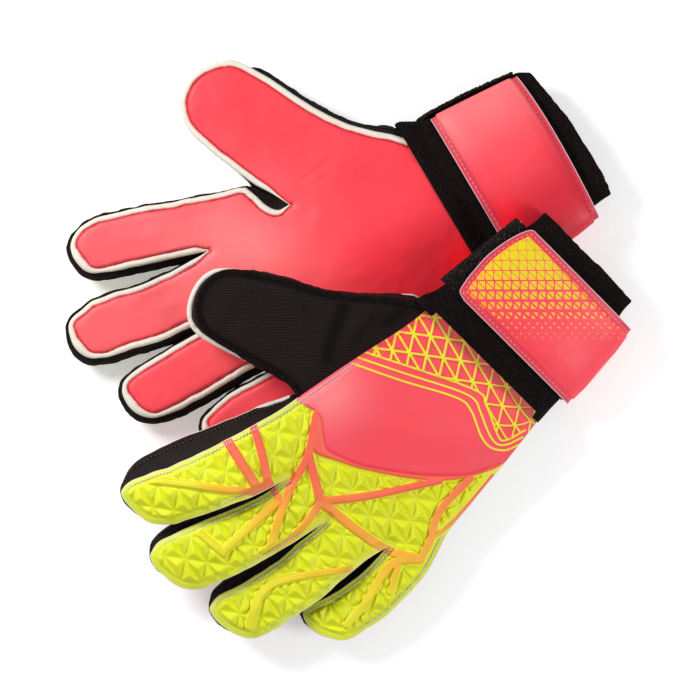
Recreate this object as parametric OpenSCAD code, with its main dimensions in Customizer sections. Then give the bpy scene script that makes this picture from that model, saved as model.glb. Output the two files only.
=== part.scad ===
// A pair of goalkeeper gloves on a table, in millimetres. The right glove lies palm up and the left
// glove lies back up, partly on top of it. Each glove is worked out in a frame of its own: +X runs from
// the fingertips to the cuff, +Y towards the thumb and +Z from the palm to the back of the hand.

/* [Hand] */
// Width of the palm at the wrist seam
wrist_w = 78; // [72:1:84]
// Wrist seam to the fork between thumb and index finger
thumb_fork = 80; // [76:1:86]
// Wrist seam to the fork between index and middle finger
index_fork = 111; // [106:1:116]
// Wrist seam to the fork between middle and ring finger
middle_fork = 113; // [108:1:118]
// Wrist seam to the fork between ring and little finger
ring_fork = 101; // [96:1:106]
// Wrist seam to where the little finger leaves the edge of the hand
little_fork = 90; // [86:1:95]
// How far the knuckle row sits towards the thumb from the wrist's middle
knuckle_shift = 2.5; // [0:0.5:5]
// Thickness of the empty glove at the middle of the hand
hand_t = 24; // [23:0.5:27]
// Thickness at the knuckles
knuckle_t = 22; // [21:0.5:25]

/* [Fingers] */
// Width of the index finger's panels
index_w = 29; // [27:0.5:31]
// Length of the index finger from its fork line
index_len = 84; // [76:1:90]
// Turn of the index finger towards the thumb, in degrees
index_turn = 20.5; // [17:0.5:23]
// Width of the middle finger's panels
middle_w = 30; // [28:0.5:32]
// Length of the middle finger from its fork line
middle_len = 85; // [78:1:90]
// Turn of the middle finger towards the thumb, in degrees
middle_turn = 16; // [13:0.5:18]
// Width of the ring finger's panels
ring_w = 29; // [27:0.5:31]
// Length of the ring finger from its fork line
ring_len = 82; // [74:1:88]
// Turn of the ring finger towards the thumb, in degrees
ring_turn = 9; // [6:0.5:11]
// Width of the little finger's panels
little_w = 25; // [23:0.5:27]
// Length of the little finger from its fork line
little_len = 62; // [56:1:68]
// Turn of the little finger towards the thumb, in degrees
little_turn = 4; // [1:0.5:6]
// Thickness of a finger at its crease
finger_t = 20; // [19:0.5:22]
// Thickness of a finger at its tip
tip_t = 17; // [16:0.5:19]
// Where the crease of a finger lies, as a share of its length
finger_crease = 0.53; // [0.45:0.01:0.6]

/* [Thumb] */
// Width of the thumb at half its length
thumb_w = 48; // [44:1:52]
// Length of the thumb from the edge of the hand
thumb_len = 86; // [80:1:92]
// Turn of the thumb away from the wrist line, in degrees
thumb_turn = 66; // [62:1:70]
// How far the thumb's centre line sits towards the fingers
thumb_set = 3; // [0:0.5:6]
// Where the crease of the thumb lies, as a share of its length
thumb_crease = 0.36; // [0.33:0.01:0.42]

/* [Layers] */
// Thickness of the palm's latex
latex_t = 3.2; // [2.5:0.1:4]
// Thickness of the foam behind the latex
backing_t = 2.4; // [2:0.1:3]
// How far the foam stands out round the latex
rim_w = 2; // [1.5:0.1:3]
// Thickness of the moulded back panel
panel_t = 4.5; // [4:0.1:5.5]
// Thickness of the back lining
lining_t = 0.8; // [0.6:0.1:1.2]
// Thickness of the knit on the back of the thumb
knit_t = 2.5; // [2:0.1:3]
// Thickness of the gusset fabric
gusset_t = 1.2; // [1:0.1:1.6]
// Sideways lean of each finger: the back panel sits this far off the palm's line
lean = 4; // [2:0.5:6]
// How far the palm's edge turns up
palm_roll = 2; // [1:0.25:2.5]
// How far the back panel's edge turns down
panel_roll = 3; // [2:0.25:3.5]

/* [Wrist] */
// How far the cuff's hollow sits in from the wrist seam at each edge
cuff_inset = 2.5; // [1:0.5:5]
// Height of the hollow in the cuff
cuff_gap = 9; // [8.5:0.1:10]
// Wall of the cuff sleeve
cuff_t = 1.3; // [1:0.1:1.6]
// Length of the cuff past the wrist seam
cuff_len = 73; // [68:1:80]
// Wall of the elastic wrist band
band_t = 1.8; // [1.4:0.1:2]
// Width of the strap along the arm
strap_w = 47.5; // [42:0.5:50]
// Gap from the wrist seam to the strap
strap_from = 14.5; // [12:0.5:18]
// Thickness of the strap and its tab
strap_t = 2.2; // [1.8:0.1:2.5]
// Thickness of the loop panel
loop_t = 1.2; // [1:0.1:1.5]
// Thickness of the hook patch
hook_t = 0.8; // [0.6:0.1:1]
// How far the tab reaches towards the thumb from the wrist's middle
tab_reach = 37; // [30:0.5:39]

/* [Pair] */
// Place of the left glove's wrist seam, along the table
left_x = 43.3; // [36:0.1:50]
// Place of the left glove's wrist seam, across the table
left_y = -70.75; // [-76:0.25:-68]
// Turn of the left glove on the table, in degrees
left_turn = 7.5; // [6:0.5:9]
// Place of the right glove's wrist seam, along the table
right_x = 76.8; // [70:0.1:84]
// Place of the right glove's wrist seam, across the table
right_y = 1.25; // [1:0.25:6]
// Turn of the right glove on the table, in degrees
right_turn = -7.5; // [-9:0.5:-6]
// Extra turn of the left glove's fingers towards its thumb, in degrees
left_splay = 2; // [0:0.5:3]
// Extra turn of the right glove's fingers towards its thumb, in degrees
right_splay = -1.5; // [-3:0.5:0]
// How far the left glove's thumb edge rises past the right glove's thickness
ride_over = 4.5; // [4:0.5:8]
// Share of that rise left at the fingertips
ride_tip = 0.55; // [0.5:0.01:0.7]

/* [Hidden] */
LEFT = 0;
RIGHT = 1;
THUMB = 4;
// Columns of the hand sheet under each finger, and its rows
cols = 3;
rows = 4;
last = 4 * cols;
// Air left at a seam, a glue line and half a crease
seam = 0.3;
glue = 0.3;
slit = 0.35;
palm_t = latex_t + glue + backing_t;
cuff_half = wrist_w / 2 - cuff_inset;
// Angles round the wrist where the strap is sewn on, where it folds and where the loop panel ends
strap_sewn = 348;
strap_fold = 180;
loop_ends = [-4, 150];
// How far the loop panel runs past the strap at the hand and stops short of it at the arm
loop_past = [1, 0.5];

widths = [little_w, ring_w, middle_w, index_w, thumb_w];
lens = [little_len, ring_len, middle_len, index_len, thumb_len];
turns = [little_turn, ring_turn, middle_turn, index_turn, thumb_turn];
reach = [little_fork, ring_fork, middle_fork, index_fork, thumb_fork];

// Half widths along a digit, as shares of its full half width
finger_shape = [[0, 1], [0.2, 0.88], [0.36, 0.94], [0.5, 1], [0.75, 1], [0.87, 0.9], [0.95, 0.68], [1, 0.34]];
thumb_shape = [[0, 1.3], [0.36, 1.12], [0.5, 1], [0.7, 0.9], [0.84, 0.78], [0.93, 0.58], [1, 0.26]];

function mix(a, b, t) = a + (b - a) * t;
function upto(v, n) = n <= 0 ? 0 : v[n - 1] + upto(v, n - 1);
knuckle_w = upto(widths, 4);
function fork_y(n) = knuckle_shift - knuckle_w / 2 + upto(widths, n);

// Fork n of the hand, moved into the hand by a given inset
function fork(n, in) =
    [-reach[n], fork_y(n)] + in * (n == 0 ? [0.3, 1] : n == 4 ? [0.7, -0.7] : [1, 0]);
// Column j as a count of fingers from the little-finger edge
function column(j) = floor(j / cols) + [0, 0.2, 0.8][j % cols];
function fork_row(j, in) =
    let (c = column(j), f = min(floor(c), 3))
    mix(fork(f, in), fork(f + 1, in), c - f);
function wrist_row(j, in) =
    let (h = wrist_w / 2 - in)
    [-seam, mix(-h, h, (fork_row(j, 0)[1] - fork_y(0)) / knuckle_w)];
// Rows lie closer together towards the forks
function row_at(i) = lookup(i, [[0, 0], [1, 0.33], [2, 0.62], [3, 0.86], [4, 1]]);
function hand_plan(i, j, in) = mix(wrist_row(j, in), fork_row(j, in), row_at(i));

// A digit runs along ahead(s, d) and is measured across side(s, d), from its little-finger edge
function turn(s, d) = turns[d] + (d == THUMB ? 0 : s == LEFT ? left_splay : right_splay);
function ahead(s, d) = [-cos(turn(s, d)), sin(turn(s, d))];
function side(s, d) = [sin(turn(s, d)), cos(turn(s, d))];
function root(s, d) =
    (fork(d, 0) + (d == THUMB ? [0, wrist_w / 2] : fork(d + 1, 0))) / 2
    - (d == THUMB ? thumb_set : 0) * side(s, d);
function half_w(d, u, in) = max(1.2, widths[d] / 2 * lookup(u, d == THUMB ? thumb_shape : finger_shape) - in);
function axis_pt(s, d, u, in) = root(s, d) + ahead(s, d) * (u * lens[d] - (u == 1 ? in : 0));
function across_at(d, u, q, in) =
    q * (abs(q) == 1 ? half_w(d, u, in) : u == 1 ? half_w(d, u, in) : half_w(d, u, 0));
function free_plan(s, d, u, q, in, off) =
    axis_pt(s, d, u, in) + side(s, d) * (across_at(d, u, q, in) + off * min(1, u * lens[d] / 18));
// Below its crease the thumb spreads out to meet the edge of the hand
function digit_plan(s, d, u, q, in, off) =
    d == THUMB && u < thumb_crease - 0.01
    ? mix(mix(fork(4, in), [-seam, wrist_w / 2 - in], (q + 1) / 2), free_plan(s, d, thumb_crease, q, in, off),
        u / thumb_crease)
    : free_plan(s, d, u, q, in, off);
function crease(d) = d == THUMB ? thumb_crease : finger_crease;
// The right little finger lies under the left index finger, so it has no crease
function bends(s, d) = !(s == RIGHT && d == 0);
function base_us(s, d) =
    let (g = slit / lens[d], c = crease(d))
    d == THUMB ? [c * 0.33, c * 0.67, c - g]
    : bends(s, d) ? [0.2, 0.36, c - g]
    : concat([0.2, 0.36, c], end_us(d));
function end_us(d) = [0.7, 0.8, 0.88, 0.95, 1];
function tip_us(d) = concat([crease(d) + slit / lens[d]], [for (u = end_us(d)) if (u > crease(d) + 0.05) u]);

// Thickness of the glove along the hand and along a digit
function hand_thick(t) = lookup(t, [[0, hand_t], [0.33, hand_t], [1, knuckle_t]]);
function digit_thick(d, u) = lookup(u, [[0, knuckle_t], [0.5, finger_t], [1, tip_t]]);
// Rise of a glove: the left one rides up on the right, the right one rests on its back
function rise(s, p, t) =
    s == RIGHT ? hand_t - t
    : (hand_t + ride_over) * max(0, min(1.1, (p[1] + 46) / 92)) * mix(1, ride_tip, max(0, min(1, (-p[0] - 116) / 75)));

// Height of a layer's face. Kind 0 counts up from the palm's face, kind 1 down from the back's face.
function level(kind, off, edge, t) =
    kind == 0 ? off + (edge ? palm_roll * (off > latex_t ? 1 : 0.2) : 0)
    : t - (edge ? panel_roll + off * 0.6 : off);
// Only the border moves with the inset; the inner points of every layer share one place
function hand_pt(s, i, j, in, k, edge) =
    let (p = hand_plan(i, j, edge ? in : 0), t = hand_thick(row_at(i)))
    [p[0], p[1], rise(s, p, t) + level(k[0], k[1], edge, t)];
function digit_pt(s, d, u, q, in, off, k, edge) =
    let (p = digit_plan(s, d, u, q, in, off), t = digit_thick(d, u))
    [p[0], p[1], rise(s, d == THUMB ? p : mix(p, axis_pt(s, d, u, 0), min(1, u / 0.45)), t) + level(k[0], k[1], edge, t)];

function quad_up(a, b, c, d) = [[a, b, c], [a, c, d]];
function quad_down(a, b, c, d) = [[a, c, b], [a, d, c]];
function flat(v) = [for (a = v) for (b = a) b];

// One sheet over the hand and the lower part of its digits, between two faces lo and hi
module hand_sheet(s, in, off, lo, hi, digits) {
    thumb = digits > THUMB;
    us = [for (d = [0:digits - 1]) base_us(s, d)];
    wide = [for (d = [0:digits - 1]) d == THUMB ? rows : cols];
    counts = [for (d = [0:digits - 1]) len(us[d]) * (wide[d] + 1)];
    hand_n = (rows + 1) * (last + 1);
    total = hand_n + upto(counts, digits);
    function at(i, j) = i * (last + 1) + j;
    function on(d, m, c) =
        m > 0 ? hand_n + upto(counts, d) + (m - 1) * (wide[d] + 1) + c
        : d == THUMB ? at(rows - c, last)
        : at(rows, d * cols + c);
    function hand_edge(i, j) =
        j == 0 || (i == rows && j % cols == 0) || (j == last && (!thumb || i == 0));
    function digit_q(d, c) =
        d == THUMB ? [-1, -0.7, 0, 0.7, 1][c] : [-1, -0.6, 0.6, 1][c];
    function face(k) = concat(
        [for (i = [0:rows]) for (j = [0:last]) hand_pt(s, i, j, in, k, hand_edge(i, j))],
        [for (d = [0:digits - 1]) for (u = us[d]) for (c = [0:wide[d]])
            digit_pt(s, d, u, digit_q(d, c), in, off, k, c == 0 || c == wide[d] || u == 1)]);
    cells = concat(
        [for (i = [0:rows - 1]) for (j = [0:last - 1]) [at(i, j), at(i + 1, j), at(i + 1, j + 1), at(i, j + 1)]],
        [for (d = [0:digits - 1]) for (m = [0:len(us[d]) - 1]) for (c = [0:wide[d] - 1])
            [on(d, m, c), on(d, m + 1, c), on(d, m + 1, c + 1), on(d, m, c + 1)]]);
    border = concat(
        [for (i = [0:rows - 1]) at(i, 0)],
        flat([for (d = [0:digits - 1]) let (n = len(us[d])) concat(
            [for (m = [0:n - 1]) on(d, m, 0)],
            [for (c = [0:wide[d] - 1]) on(d, n, c)],
            [for (m = [n:-1:1]) on(d, m, wide[d])])]),
        thumb ? [] : [for (i = [rows:-1:1]) at(i, last)],
        [for (j = [last:-1:1]) at(0, j)]);
    polyhedron(
        concat(face(lo), face(hi)),
        concat(
            flat([for (c = cells) quad_down(c[0], c[1], c[2], c[3])]),
            flat([for (c = cells) let (e = c + total * [1, 1, 1, 1]) quad_up(e[0], e[1], e[2], e[3])]),
            flat([for (n = [0:len(border) - 1])
                let (a = border[n], b = border[(n + 1) % len(border)])
                quad_up(a, b, b + total, a + total)])));
}

// One sheet over a stretch of a single digit, between two faces lo and hi
module digit_sheet(s, d, us, in, off, lo, hi) {
    qs = [-1, -0.6, 0.6, 1];
    n = len(us);
    total = n * 4;
    function face(k) = [for (u = us) for (c = [0:3])
        digit_pt(s, d, u, qs[c], in, off, k, c == 0 || c == 3 || u == 1)];
    cells = [for (m = [0:n - 2]) for (c = [0:2]) [m * 4 + c, m * 4 + c + 4, m * 4 + c + 5, m * 4 + c + 1]];
    border = concat(
        [for (m = [0:n - 2]) m * 4],
        [for (c = [0:2]) (n - 1) * 4 + c],
        [for (m = [n - 1:-1:1]) m * 4 + 3],
        [for (c = [3:-1:1]) c]);
    polyhedron(
        concat(face(lo), face(hi)),
        concat(
            flat([for (c = cells) quad_down(c[0], c[1], c[2], c[3])]),
            flat([for (c = cells) let (e = c + total * [1, 1, 1, 1]) quad_up(e[0], e[1], e[2], e[3])]),
            flat([for (m = [0:len(border) - 1])
                let (a = border[m], b = border[(m + 1) % len(border)])
                quad_up(a, b, b + total, a + total)])));
}

// A gusset wall stands on a path of stations [digit or -1, share, edge, inset point]
wall_in = rim_w + 0.2;
wall_gap = seam + 0.3;
function wall_foot(s, d, u, q) =
    let (a = digit_pt(s, d, u, q, wall_in, lean / 2, [0, palm_t + wall_gap], true),
         b = digit_pt(s, d, u, q, wall_in, -lean / 2, [1, panel_t + wall_gap], true))
    [a, b];
function hand_foot(s, i, j) =
    [hand_pt(s, i, j, wall_in, [0, palm_t + wall_gap], true),
     hand_pt(s, i, j, wall_in, [1, panel_t + wall_gap], true)];
function planar(v) = [v[0], v[1]];
function unit(v) = v / max(1e-6, norm(v));
module wall(feet) {
    n = len(feet);
    function across(k, m) =
        let (a = planar(feet[max(0, m - 1)][k]), b = planar(feet[min(n - 1, m + 1)][k]), t = unit(b - a))
        [-t[1], t[0], 0] * gusset_t / 2;
    pts = flat([for (m = [0:n - 1]) [
        feet[m][0] + across(0, m),
        feet[m][1] + across(1, m),
        feet[m][1] - across(1, m),
        feet[m][0] - across(0, m)]]);
    polyhedron(pts, concat(
        quad_up(0, 1, 2, 3),
        flat([for (m = [0:n - 2]) for (c = [0:3])
            let (a = m * 4, b = a + 4, e = (c + 1) % 4)
            quad_down(a + c, a + e, b + e, b + c)]),
        let (z = (n - 1) * 4) quad_down(z, z + 1, z + 2, z + 3)));
}

// Walls round the base of the digits: along the hand's outer edge, through each fork and up the thumb
module base_walls(s) {
    function up(d, q) = [for (u = base_us(s, d)) if (u > 0) wall_foot(s, d, u, q)];
    function down(d, q) = let (v = up(d, q)) [for (m = [len(v) - 1:-1:0]) v[m]];
    wall(concat([for (i = [0:rows]) hand_foot(s, i, 0)], up(0, -1), bends(s, 0) ? [] : down(0, 1),
        bends(s, 0) ? [] : [hand_foot(s, rows, cols)], bends(s, 0) ? [] : up(1, -1)));
    for (d = [bends(s, 0) ? 0 : 1:2]) wall(concat(down(d, 1), [hand_foot(s, rows, (d + 1) * cols)], up(d + 1, -1)));
    wall(concat(down(3, 1), [hand_foot(s, rows, last)], up(THUMB, -1)));
    wall(concat(down(THUMB, 1), [hand_foot(s, 0, last)]));
}
// Wall round the free end of a digit
module end_wall(s, d) {
    us = tip_us(d);
    n = len(us) - 1;
    wall(concat([for (m = [0:n]) wall_foot(s, d, us[m], -1)], [for (m = [n:-1:0]) wall_foot(s, d, us[m], 1)]));
}

// The wrist is a flattened ring. Angle 0 is the thumb edge, 90 the back and 180 the little-finger edge.
function bow(v) = sign(v) * pow(abs(v), 0.55);
function ring_pt(s, x, a, half, high) =
    let (p = [x, half * bow(cos(a))])
    [x, p[1], rise(s, p, hand_t) + mid_z + high * bow(sin(a))];
// A closed sleeve through stations [x, half width, half height] with a given wall
module sleeve(s, stations, t) {
    n = 28;
    m = len(stations);
    function loop(grow) = [for (v = stations) for (k = [0:n - 1])
        ring_pt(s, v[0], k * 360 / n, v[1] + grow, v[2] + grow)];
    z = n * m;
    polyhedron(concat(loop(0), loop(t)), concat(
        flat([for (r = [0:m - 2]) for (k = [0:n - 1])
            let (a = r * n + k, b = r * n + (k + 1) % n)
            concat(quad_up(a, b, b + n, a + n), quad_down(a + z, b + z, b + n + z, a + n + z))]),
        flat([for (k = [0:n - 1])
            let (a = k, b = (k + 1) % n, e = (m - 1) * n)
            concat(quad_up(a, a + z, b + z, b), quad_down(a + e, a + e + z, b + e + z, b + e))])));
}
// A band lying on the ring from angle a0 to a1, with the inner face's growth at each end, trimmed ends and a wall
module band(s, a0, a1, grow0, grow1, t, x0, x1, trim) {
    n = 14;
    function grow(k) = mix(grow0, grow1, pow(k / n, 4));
    function cut(k) = k > 1 ? 0 : trim * [1, 0.3][k];
    function row(k, g) = [for (x = [x0 + cut(k), mix(x0, x1, 0.5), x1 - cut(k)])
        ring_pt(s, x, mix(a0, a1, k / n), cuff_half + g, cuff_gap / 2 + g)];
    z = (n + 1) * 3;
    pts = concat(
        flat([for (k = [0:n]) row(k, grow(k))]),
        flat([for (k = [0:n]) row(k, grow(k) + t)]));
    border = concat([for (k = [0:n - 1]) k * 3], [n * 3, n * 3 + 1],
        [for (k = [n:-1:1]) k * 3 + 2], [2, 1]);
    sides = concat(
        flat([for (k = [0:n - 1]) for (c = [0:1])
            let (a = k * 3 + c)
            concat(quad_up(a, a + 1, a + 4, a + 3), quad_down(a + z, a + 1 + z, a + 4 + z, a + 3 + z))]),
        flat([for (k = [0:len(border) - 1])
            let (a = border[k], b = border[(k + 1) % len(border)])
            quad_up(a, b, b + z, a + z)]));
    polyhedron(pts, a1 < a0 ? sides : [for (f = sides) [f[2], f[1], f[0]]]);
}
grow_band = cuff_t + glue;
grow_strap = grow_band + band_t + glue;
grow_hook = grow_strap + loop_t + glue;
grow_tab = grow_hook + hook_t + glue;
mid_z = hand_t - cuff_gap / 2 - grow_tab - strap_t;
fold_gap = 0.1;
strap_to = strap_from + strap_w;
// Angle on the ring at a given height of half width
function ring_angle(y, half) = acos(sign(y) * pow(abs(y) / half, 1 / 0.55));

// Place a glove on the table; the right one is turned over
module placed(s) {
    if (s == LEFT) translate([left_x, left_y, 0]) rotate(left_turn) children();
    else translate([right_x, right_y, hand_t]) rotate(right_turn) mirror([0, 0, 1]) children();
}

module palm_latex(s) placed(s) color("tomato") hand_sheet(s, rim_w, lean / 2, [0, 0], [0, latex_t], 5);
module palm_backing(s) placed(s) color("linen") hand_sheet(s, 0, lean / 2, [0, latex_t + glue], [0, palm_t], 5);
module back_panel(s) placed(s) color("yellow") hand_sheet(s, 1, -lean / 2, [1, panel_t], [1, 0], 4);
module back_lining(s) placed(s) color("dimgray") lining_sheet(s);
// The lining is a plain sheet under the hand part of the back panel
module lining_sheet(s) {
    js = [for (j = [1:last - 1]) j];
    m = len(js);
    z = rows * m;
    function face(k) = [for (i = [0.15, 1, 2, 3]) for (j = js) hand_pt(s, i, j, 4, k, false)];
    cells = [for (i = [0:rows - 2]) for (c = [0:m - 2]) [i * m + c, i * m + c + m, i * m + c + m + 1, i * m + c + 1]];
    border = concat([for (i = [0:rows - 2]) i * m], [for (c = [0:m - 2]) (rows - 1) * m + c],
        [for (i = [rows - 1:-1:1]) i * m + m - 1], [for (c = [m - 1:-1:1]) c]);
    polyhedron(concat(face([1, panel_t + glue + lining_t]), face([1, panel_t + glue])), concat(
        flat([for (c = cells) quad_down(c[0], c[1], c[2], c[3])]),
        flat([for (c = cells) let (e = c + z * [1, 1, 1, 1]) quad_up(e[0], e[1], e[2], e[3])]),
        flat([for (n = [0:len(border) - 1])
            let (a = border[n], b = border[(n + 1) % len(border)])
            quad_up(a, b, b + z, a + z)])));
}
module thumb_saddle(s) placed(s) color("dimgray")
    digit_sheet(s, THUMB, [0.02, 0.13, 0.24, thumb_crease - slit / thumb_len], 1, -lean / 2, [1, knit_t], [1, 0]);
module gussets(s) placed(s) color("black") base_walls(s);
module cuff(s) placed(s) color("black")
    sleeve(s, [[-9, cuff_half - 4, cuff_gap / 2 - 0.9], [0, cuff_half - 2, cuff_gap / 2 - 0.9], [5, cuff_half, cuff_gap / 2],
        [strap_to, cuff_half, cuff_gap / 2], [cuff_len, cuff_half - 2, cuff_gap / 2]], cuff_t);
module wrist_band(s) placed(s) color("black")
    sleeve(s, [[seam, cuff_half + grow_band, cuff_gap / 2 + grow_band],
        [strap_to - 1, cuff_half + grow_band, cuff_gap / 2 + grow_band]], band_t);
module wrist_strap(s) placed(s) color("tomato")
    band(s, strap_sewn, strap_fold + fold_gap, grow_strap, grow_tab, strap_t, strap_from, strap_to, 0);
module loop_panel(s) placed(s) color("black")
    band(s, loop_ends[0], loop_ends[1], grow_strap, grow_strap, loop_t,
        strap_from - loop_past[0], strap_to - loop_past[1], 2);
module strap_tab(s) placed(s) color("tomato")
    band(s, ring_angle(tab_reach, cuff_half + grow_tab), strap_fold - fold_gap, grow_tab, grow_tab, strap_t,
        strap_from, strap_to, 7);
module hook_patch(s) placed(s) color("black")
    band(s, ring_angle(tab_reach - 3, cuff_half + grow_hook), 95, grow_hook, grow_hook, hook_t,
        strap_from + 4, strap_to - 4, 6);

module end_latex(s, d) placed(s) color("tomato") digit_sheet(s, d, tip_us(d), rim_w, lean / 2, [0, 0], [0, latex_t]);
module end_backing(s, d) placed(s) color("linen")
    digit_sheet(s, d, tip_us(d), 0, lean / 2, [0, latex_t + glue], [0, palm_t]);
module end_back(s, d) placed(s) color(d == THUMB ? "dimgray" : "yellow")
    digit_sheet(s, d, tip_us(d), 1, -lean / 2, [1, d == THUMB ? knit_t : panel_t], [1, 0]);
module end_gusset(s, d) placed(s) color("black") end_wall(s, d);

module left_palm_latex() palm_latex(LEFT);
module left_palm_backing() palm_backing(LEFT);
module left_back_panel() back_panel(LEFT);
module left_back_lining() back_lining(LEFT);
module left_thumb_saddle() thumb_saddle(LEFT);
module left_gussets() gussets(LEFT);
module left_cuff() cuff(LEFT);
module left_wrist_band() wrist_band(LEFT);
module left_wrist_strap() wrist_strap(LEFT);
module left_loop_panel() loop_panel(LEFT);
module left_strap_tab() strap_tab(LEFT);
module left_hook_patch() hook_patch(LEFT);
module left_little_latex() end_latex(LEFT, 0);
module left_little_backing() end_backing(LEFT, 0);
module left_little_back() end_back(LEFT, 0);
module left_little_gusset() end_gusset(LEFT, 0);
module left_ring_latex() end_latex(LEFT, 1);
module left_ring_backing() end_backing(LEFT, 1);
module left_ring_back() end_back(LEFT, 1);
module left_ring_gusset() end_gusset(LEFT, 1);
module left_middle_latex() end_latex(LEFT, 2);
module left_middle_backing() end_backing(LEFT, 2);
module left_middle_back() end_back(LEFT, 2);
module left_middle_gusset() end_gusset(LEFT, 2);
module left_index_latex() end_latex(LEFT, 3);
module left_index_backing() end_backing(LEFT, 3);
module left_index_back() end_back(LEFT, 3);
module left_index_gusset() end_gusset(LEFT, 3);
module left_thumb_latex() end_latex(LEFT, THUMB);
module left_thumb_backing() end_backing(LEFT, THUMB);
module left_thumb_back() end_back(LEFT, THUMB);
module left_thumb_gusset() end_gusset(LEFT, THUMB);
module right_palm_latex() palm_latex(RIGHT);
module right_palm_backing() palm_backing(RIGHT);
module right_back_panel() back_panel(RIGHT);
module right_back_lining() back_lining(RIGHT);
module right_thumb_saddle() thumb_saddle(RIGHT);
module right_gussets() gussets(RIGHT);
module right_cuff() cuff(RIGHT);
module right_wrist_band() wrist_band(RIGHT);
module right_wrist_strap() wrist_strap(RIGHT);
module right_loop_panel() loop_panel(RIGHT);
module right_strap_tab() strap_tab(RIGHT);
module right_hook_patch() hook_patch(RIGHT);
module right_ring_latex() end_latex(RIGHT, 1);
module right_ring_backing() end_backing(RIGHT, 1);
module right_ring_back() end_back(RIGHT, 1);
module right_ring_gusset() end_gusset(RIGHT, 1);
module right_middle_latex() end_latex(RIGHT, 2);
module right_middle_backing() end_backing(RIGHT, 2);
module right_middle_back() end_back(RIGHT, 2);
module right_middle_gusset() end_gusset(RIGHT, 2);
module right_index_latex() end_latex(RIGHT, 3);
module right_index_backing() end_backing(RIGHT, 3);
module right_index_back() end_back(RIGHT, 3);
module right_index_gusset() end_gusset(RIGHT, 3);
module right_thumb_latex() end_latex(RIGHT, THUMB);
module right_thumb_backing() end_backing(RIGHT, THUMB);
module right_thumb_back() end_back(RIGHT, THUMB);
module right_thumb_gusset() end_gusset(RIGHT, THUMB);

left_palm_latex();
left_palm_backing();
left_back_panel();
left_back_lining();
left_thumb_saddle();
left_gussets();
left_cuff();
left_wrist_band();
left_wrist_strap();
left_loop_panel();
left_strap_tab();
left_hook_patch();
left_little_latex();
left_little_backing();
left_little_back();
left_little_gusset();
left_ring_latex();
left_ring_backing();
left_ring_back();
left_ring_gusset();
left_middle_latex();
left_middle_backing();
left_middle_back();
left_middle_gusset();
left_index_latex();
left_index_backing();
left_index_back();
left_index_gusset();
left_thumb_latex();
left_thumb_backing();
left_thumb_back();
left_thumb_gusset();
right_palm_latex();
right_palm_backing();
right_back_panel();
right_back_lining();
right_thumb_saddle();
right_gussets();
right_cuff();
right_wrist_band();
right_wrist_strap();
right_loop_panel();
right_strap_tab();
right_hook_patch();
right_ring_latex();
right_ring_backing();
right_ring_back();
right_ring_gusset();
right_middle_latex();
right_middle_backing();
right_middle_back();
right_middle_gusset();
right_index_latex();
right_index_backing();
right_index_back();
right_index_gusset();
right_thumb_latex();
right_thumb_backing();
right_thumb_back();
right_thumb_gusset();
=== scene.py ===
import math
from types import SimpleNamespace

import bpy
import numpy as np
from mathutils import Matrix, Vector
from mathutils.kdtree import KDTree


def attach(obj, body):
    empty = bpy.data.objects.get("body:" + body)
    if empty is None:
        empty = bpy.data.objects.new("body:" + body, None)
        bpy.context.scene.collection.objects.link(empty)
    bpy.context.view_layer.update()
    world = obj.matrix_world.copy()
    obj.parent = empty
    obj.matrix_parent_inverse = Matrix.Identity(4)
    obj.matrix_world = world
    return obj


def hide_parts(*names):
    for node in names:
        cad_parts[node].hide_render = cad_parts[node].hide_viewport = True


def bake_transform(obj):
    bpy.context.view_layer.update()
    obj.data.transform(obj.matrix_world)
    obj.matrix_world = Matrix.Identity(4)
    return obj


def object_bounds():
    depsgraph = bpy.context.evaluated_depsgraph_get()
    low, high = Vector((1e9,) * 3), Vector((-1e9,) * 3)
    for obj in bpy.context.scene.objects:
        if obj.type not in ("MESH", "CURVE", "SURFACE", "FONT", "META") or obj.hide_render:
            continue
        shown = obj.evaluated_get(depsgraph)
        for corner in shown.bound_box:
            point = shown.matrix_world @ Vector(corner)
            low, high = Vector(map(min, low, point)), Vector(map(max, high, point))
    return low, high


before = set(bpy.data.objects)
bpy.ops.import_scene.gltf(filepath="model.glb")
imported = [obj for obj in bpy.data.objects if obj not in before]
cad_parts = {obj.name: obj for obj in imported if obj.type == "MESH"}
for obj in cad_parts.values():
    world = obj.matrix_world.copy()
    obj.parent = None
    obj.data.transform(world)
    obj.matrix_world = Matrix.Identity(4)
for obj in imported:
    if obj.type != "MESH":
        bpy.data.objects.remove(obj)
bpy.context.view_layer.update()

# Lengths are in millimetres in each glove's own frame: x from the fingertips to the cuff, y to the thumb,
# z from the palm to the back, with the wrist seam's middle at the origin.
SIDES = ("left", "right")
DIGITS = ("little", "ring", "middle", "index", "thumb")
INDEX, THUMB = 3, 4
# Where each glove lies in the shared frame: x, y and its turn in degrees.
SPOT = {"left": (43.3, -70.75, 7.5), "right": (76.8, 1.25, -7.5)}
# Thickness at the hand and along a finger, the wrist's mid height, and how far the right back lies lower.
HAND_T, ROOT_T, MIDDLE_T, TIP_T = 24.0, 22.0, 20.0, 17.0
MID_Z = 11.0
BACK_DROP = {"left": 0.0, "right": 2.0}
# How far the left glove is raised where it lies on the right one: from this y, by this much over this width.
RISE_FROM, RISE, RISE_WIDTH = -46, 28.5, 92
# Its fingers slope down again from this x, over this length, to this share of that height.
SLOPE_FROM, SLOPE_LENGTH, SLOPE_SHARE = -116, 75, 0.55

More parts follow.
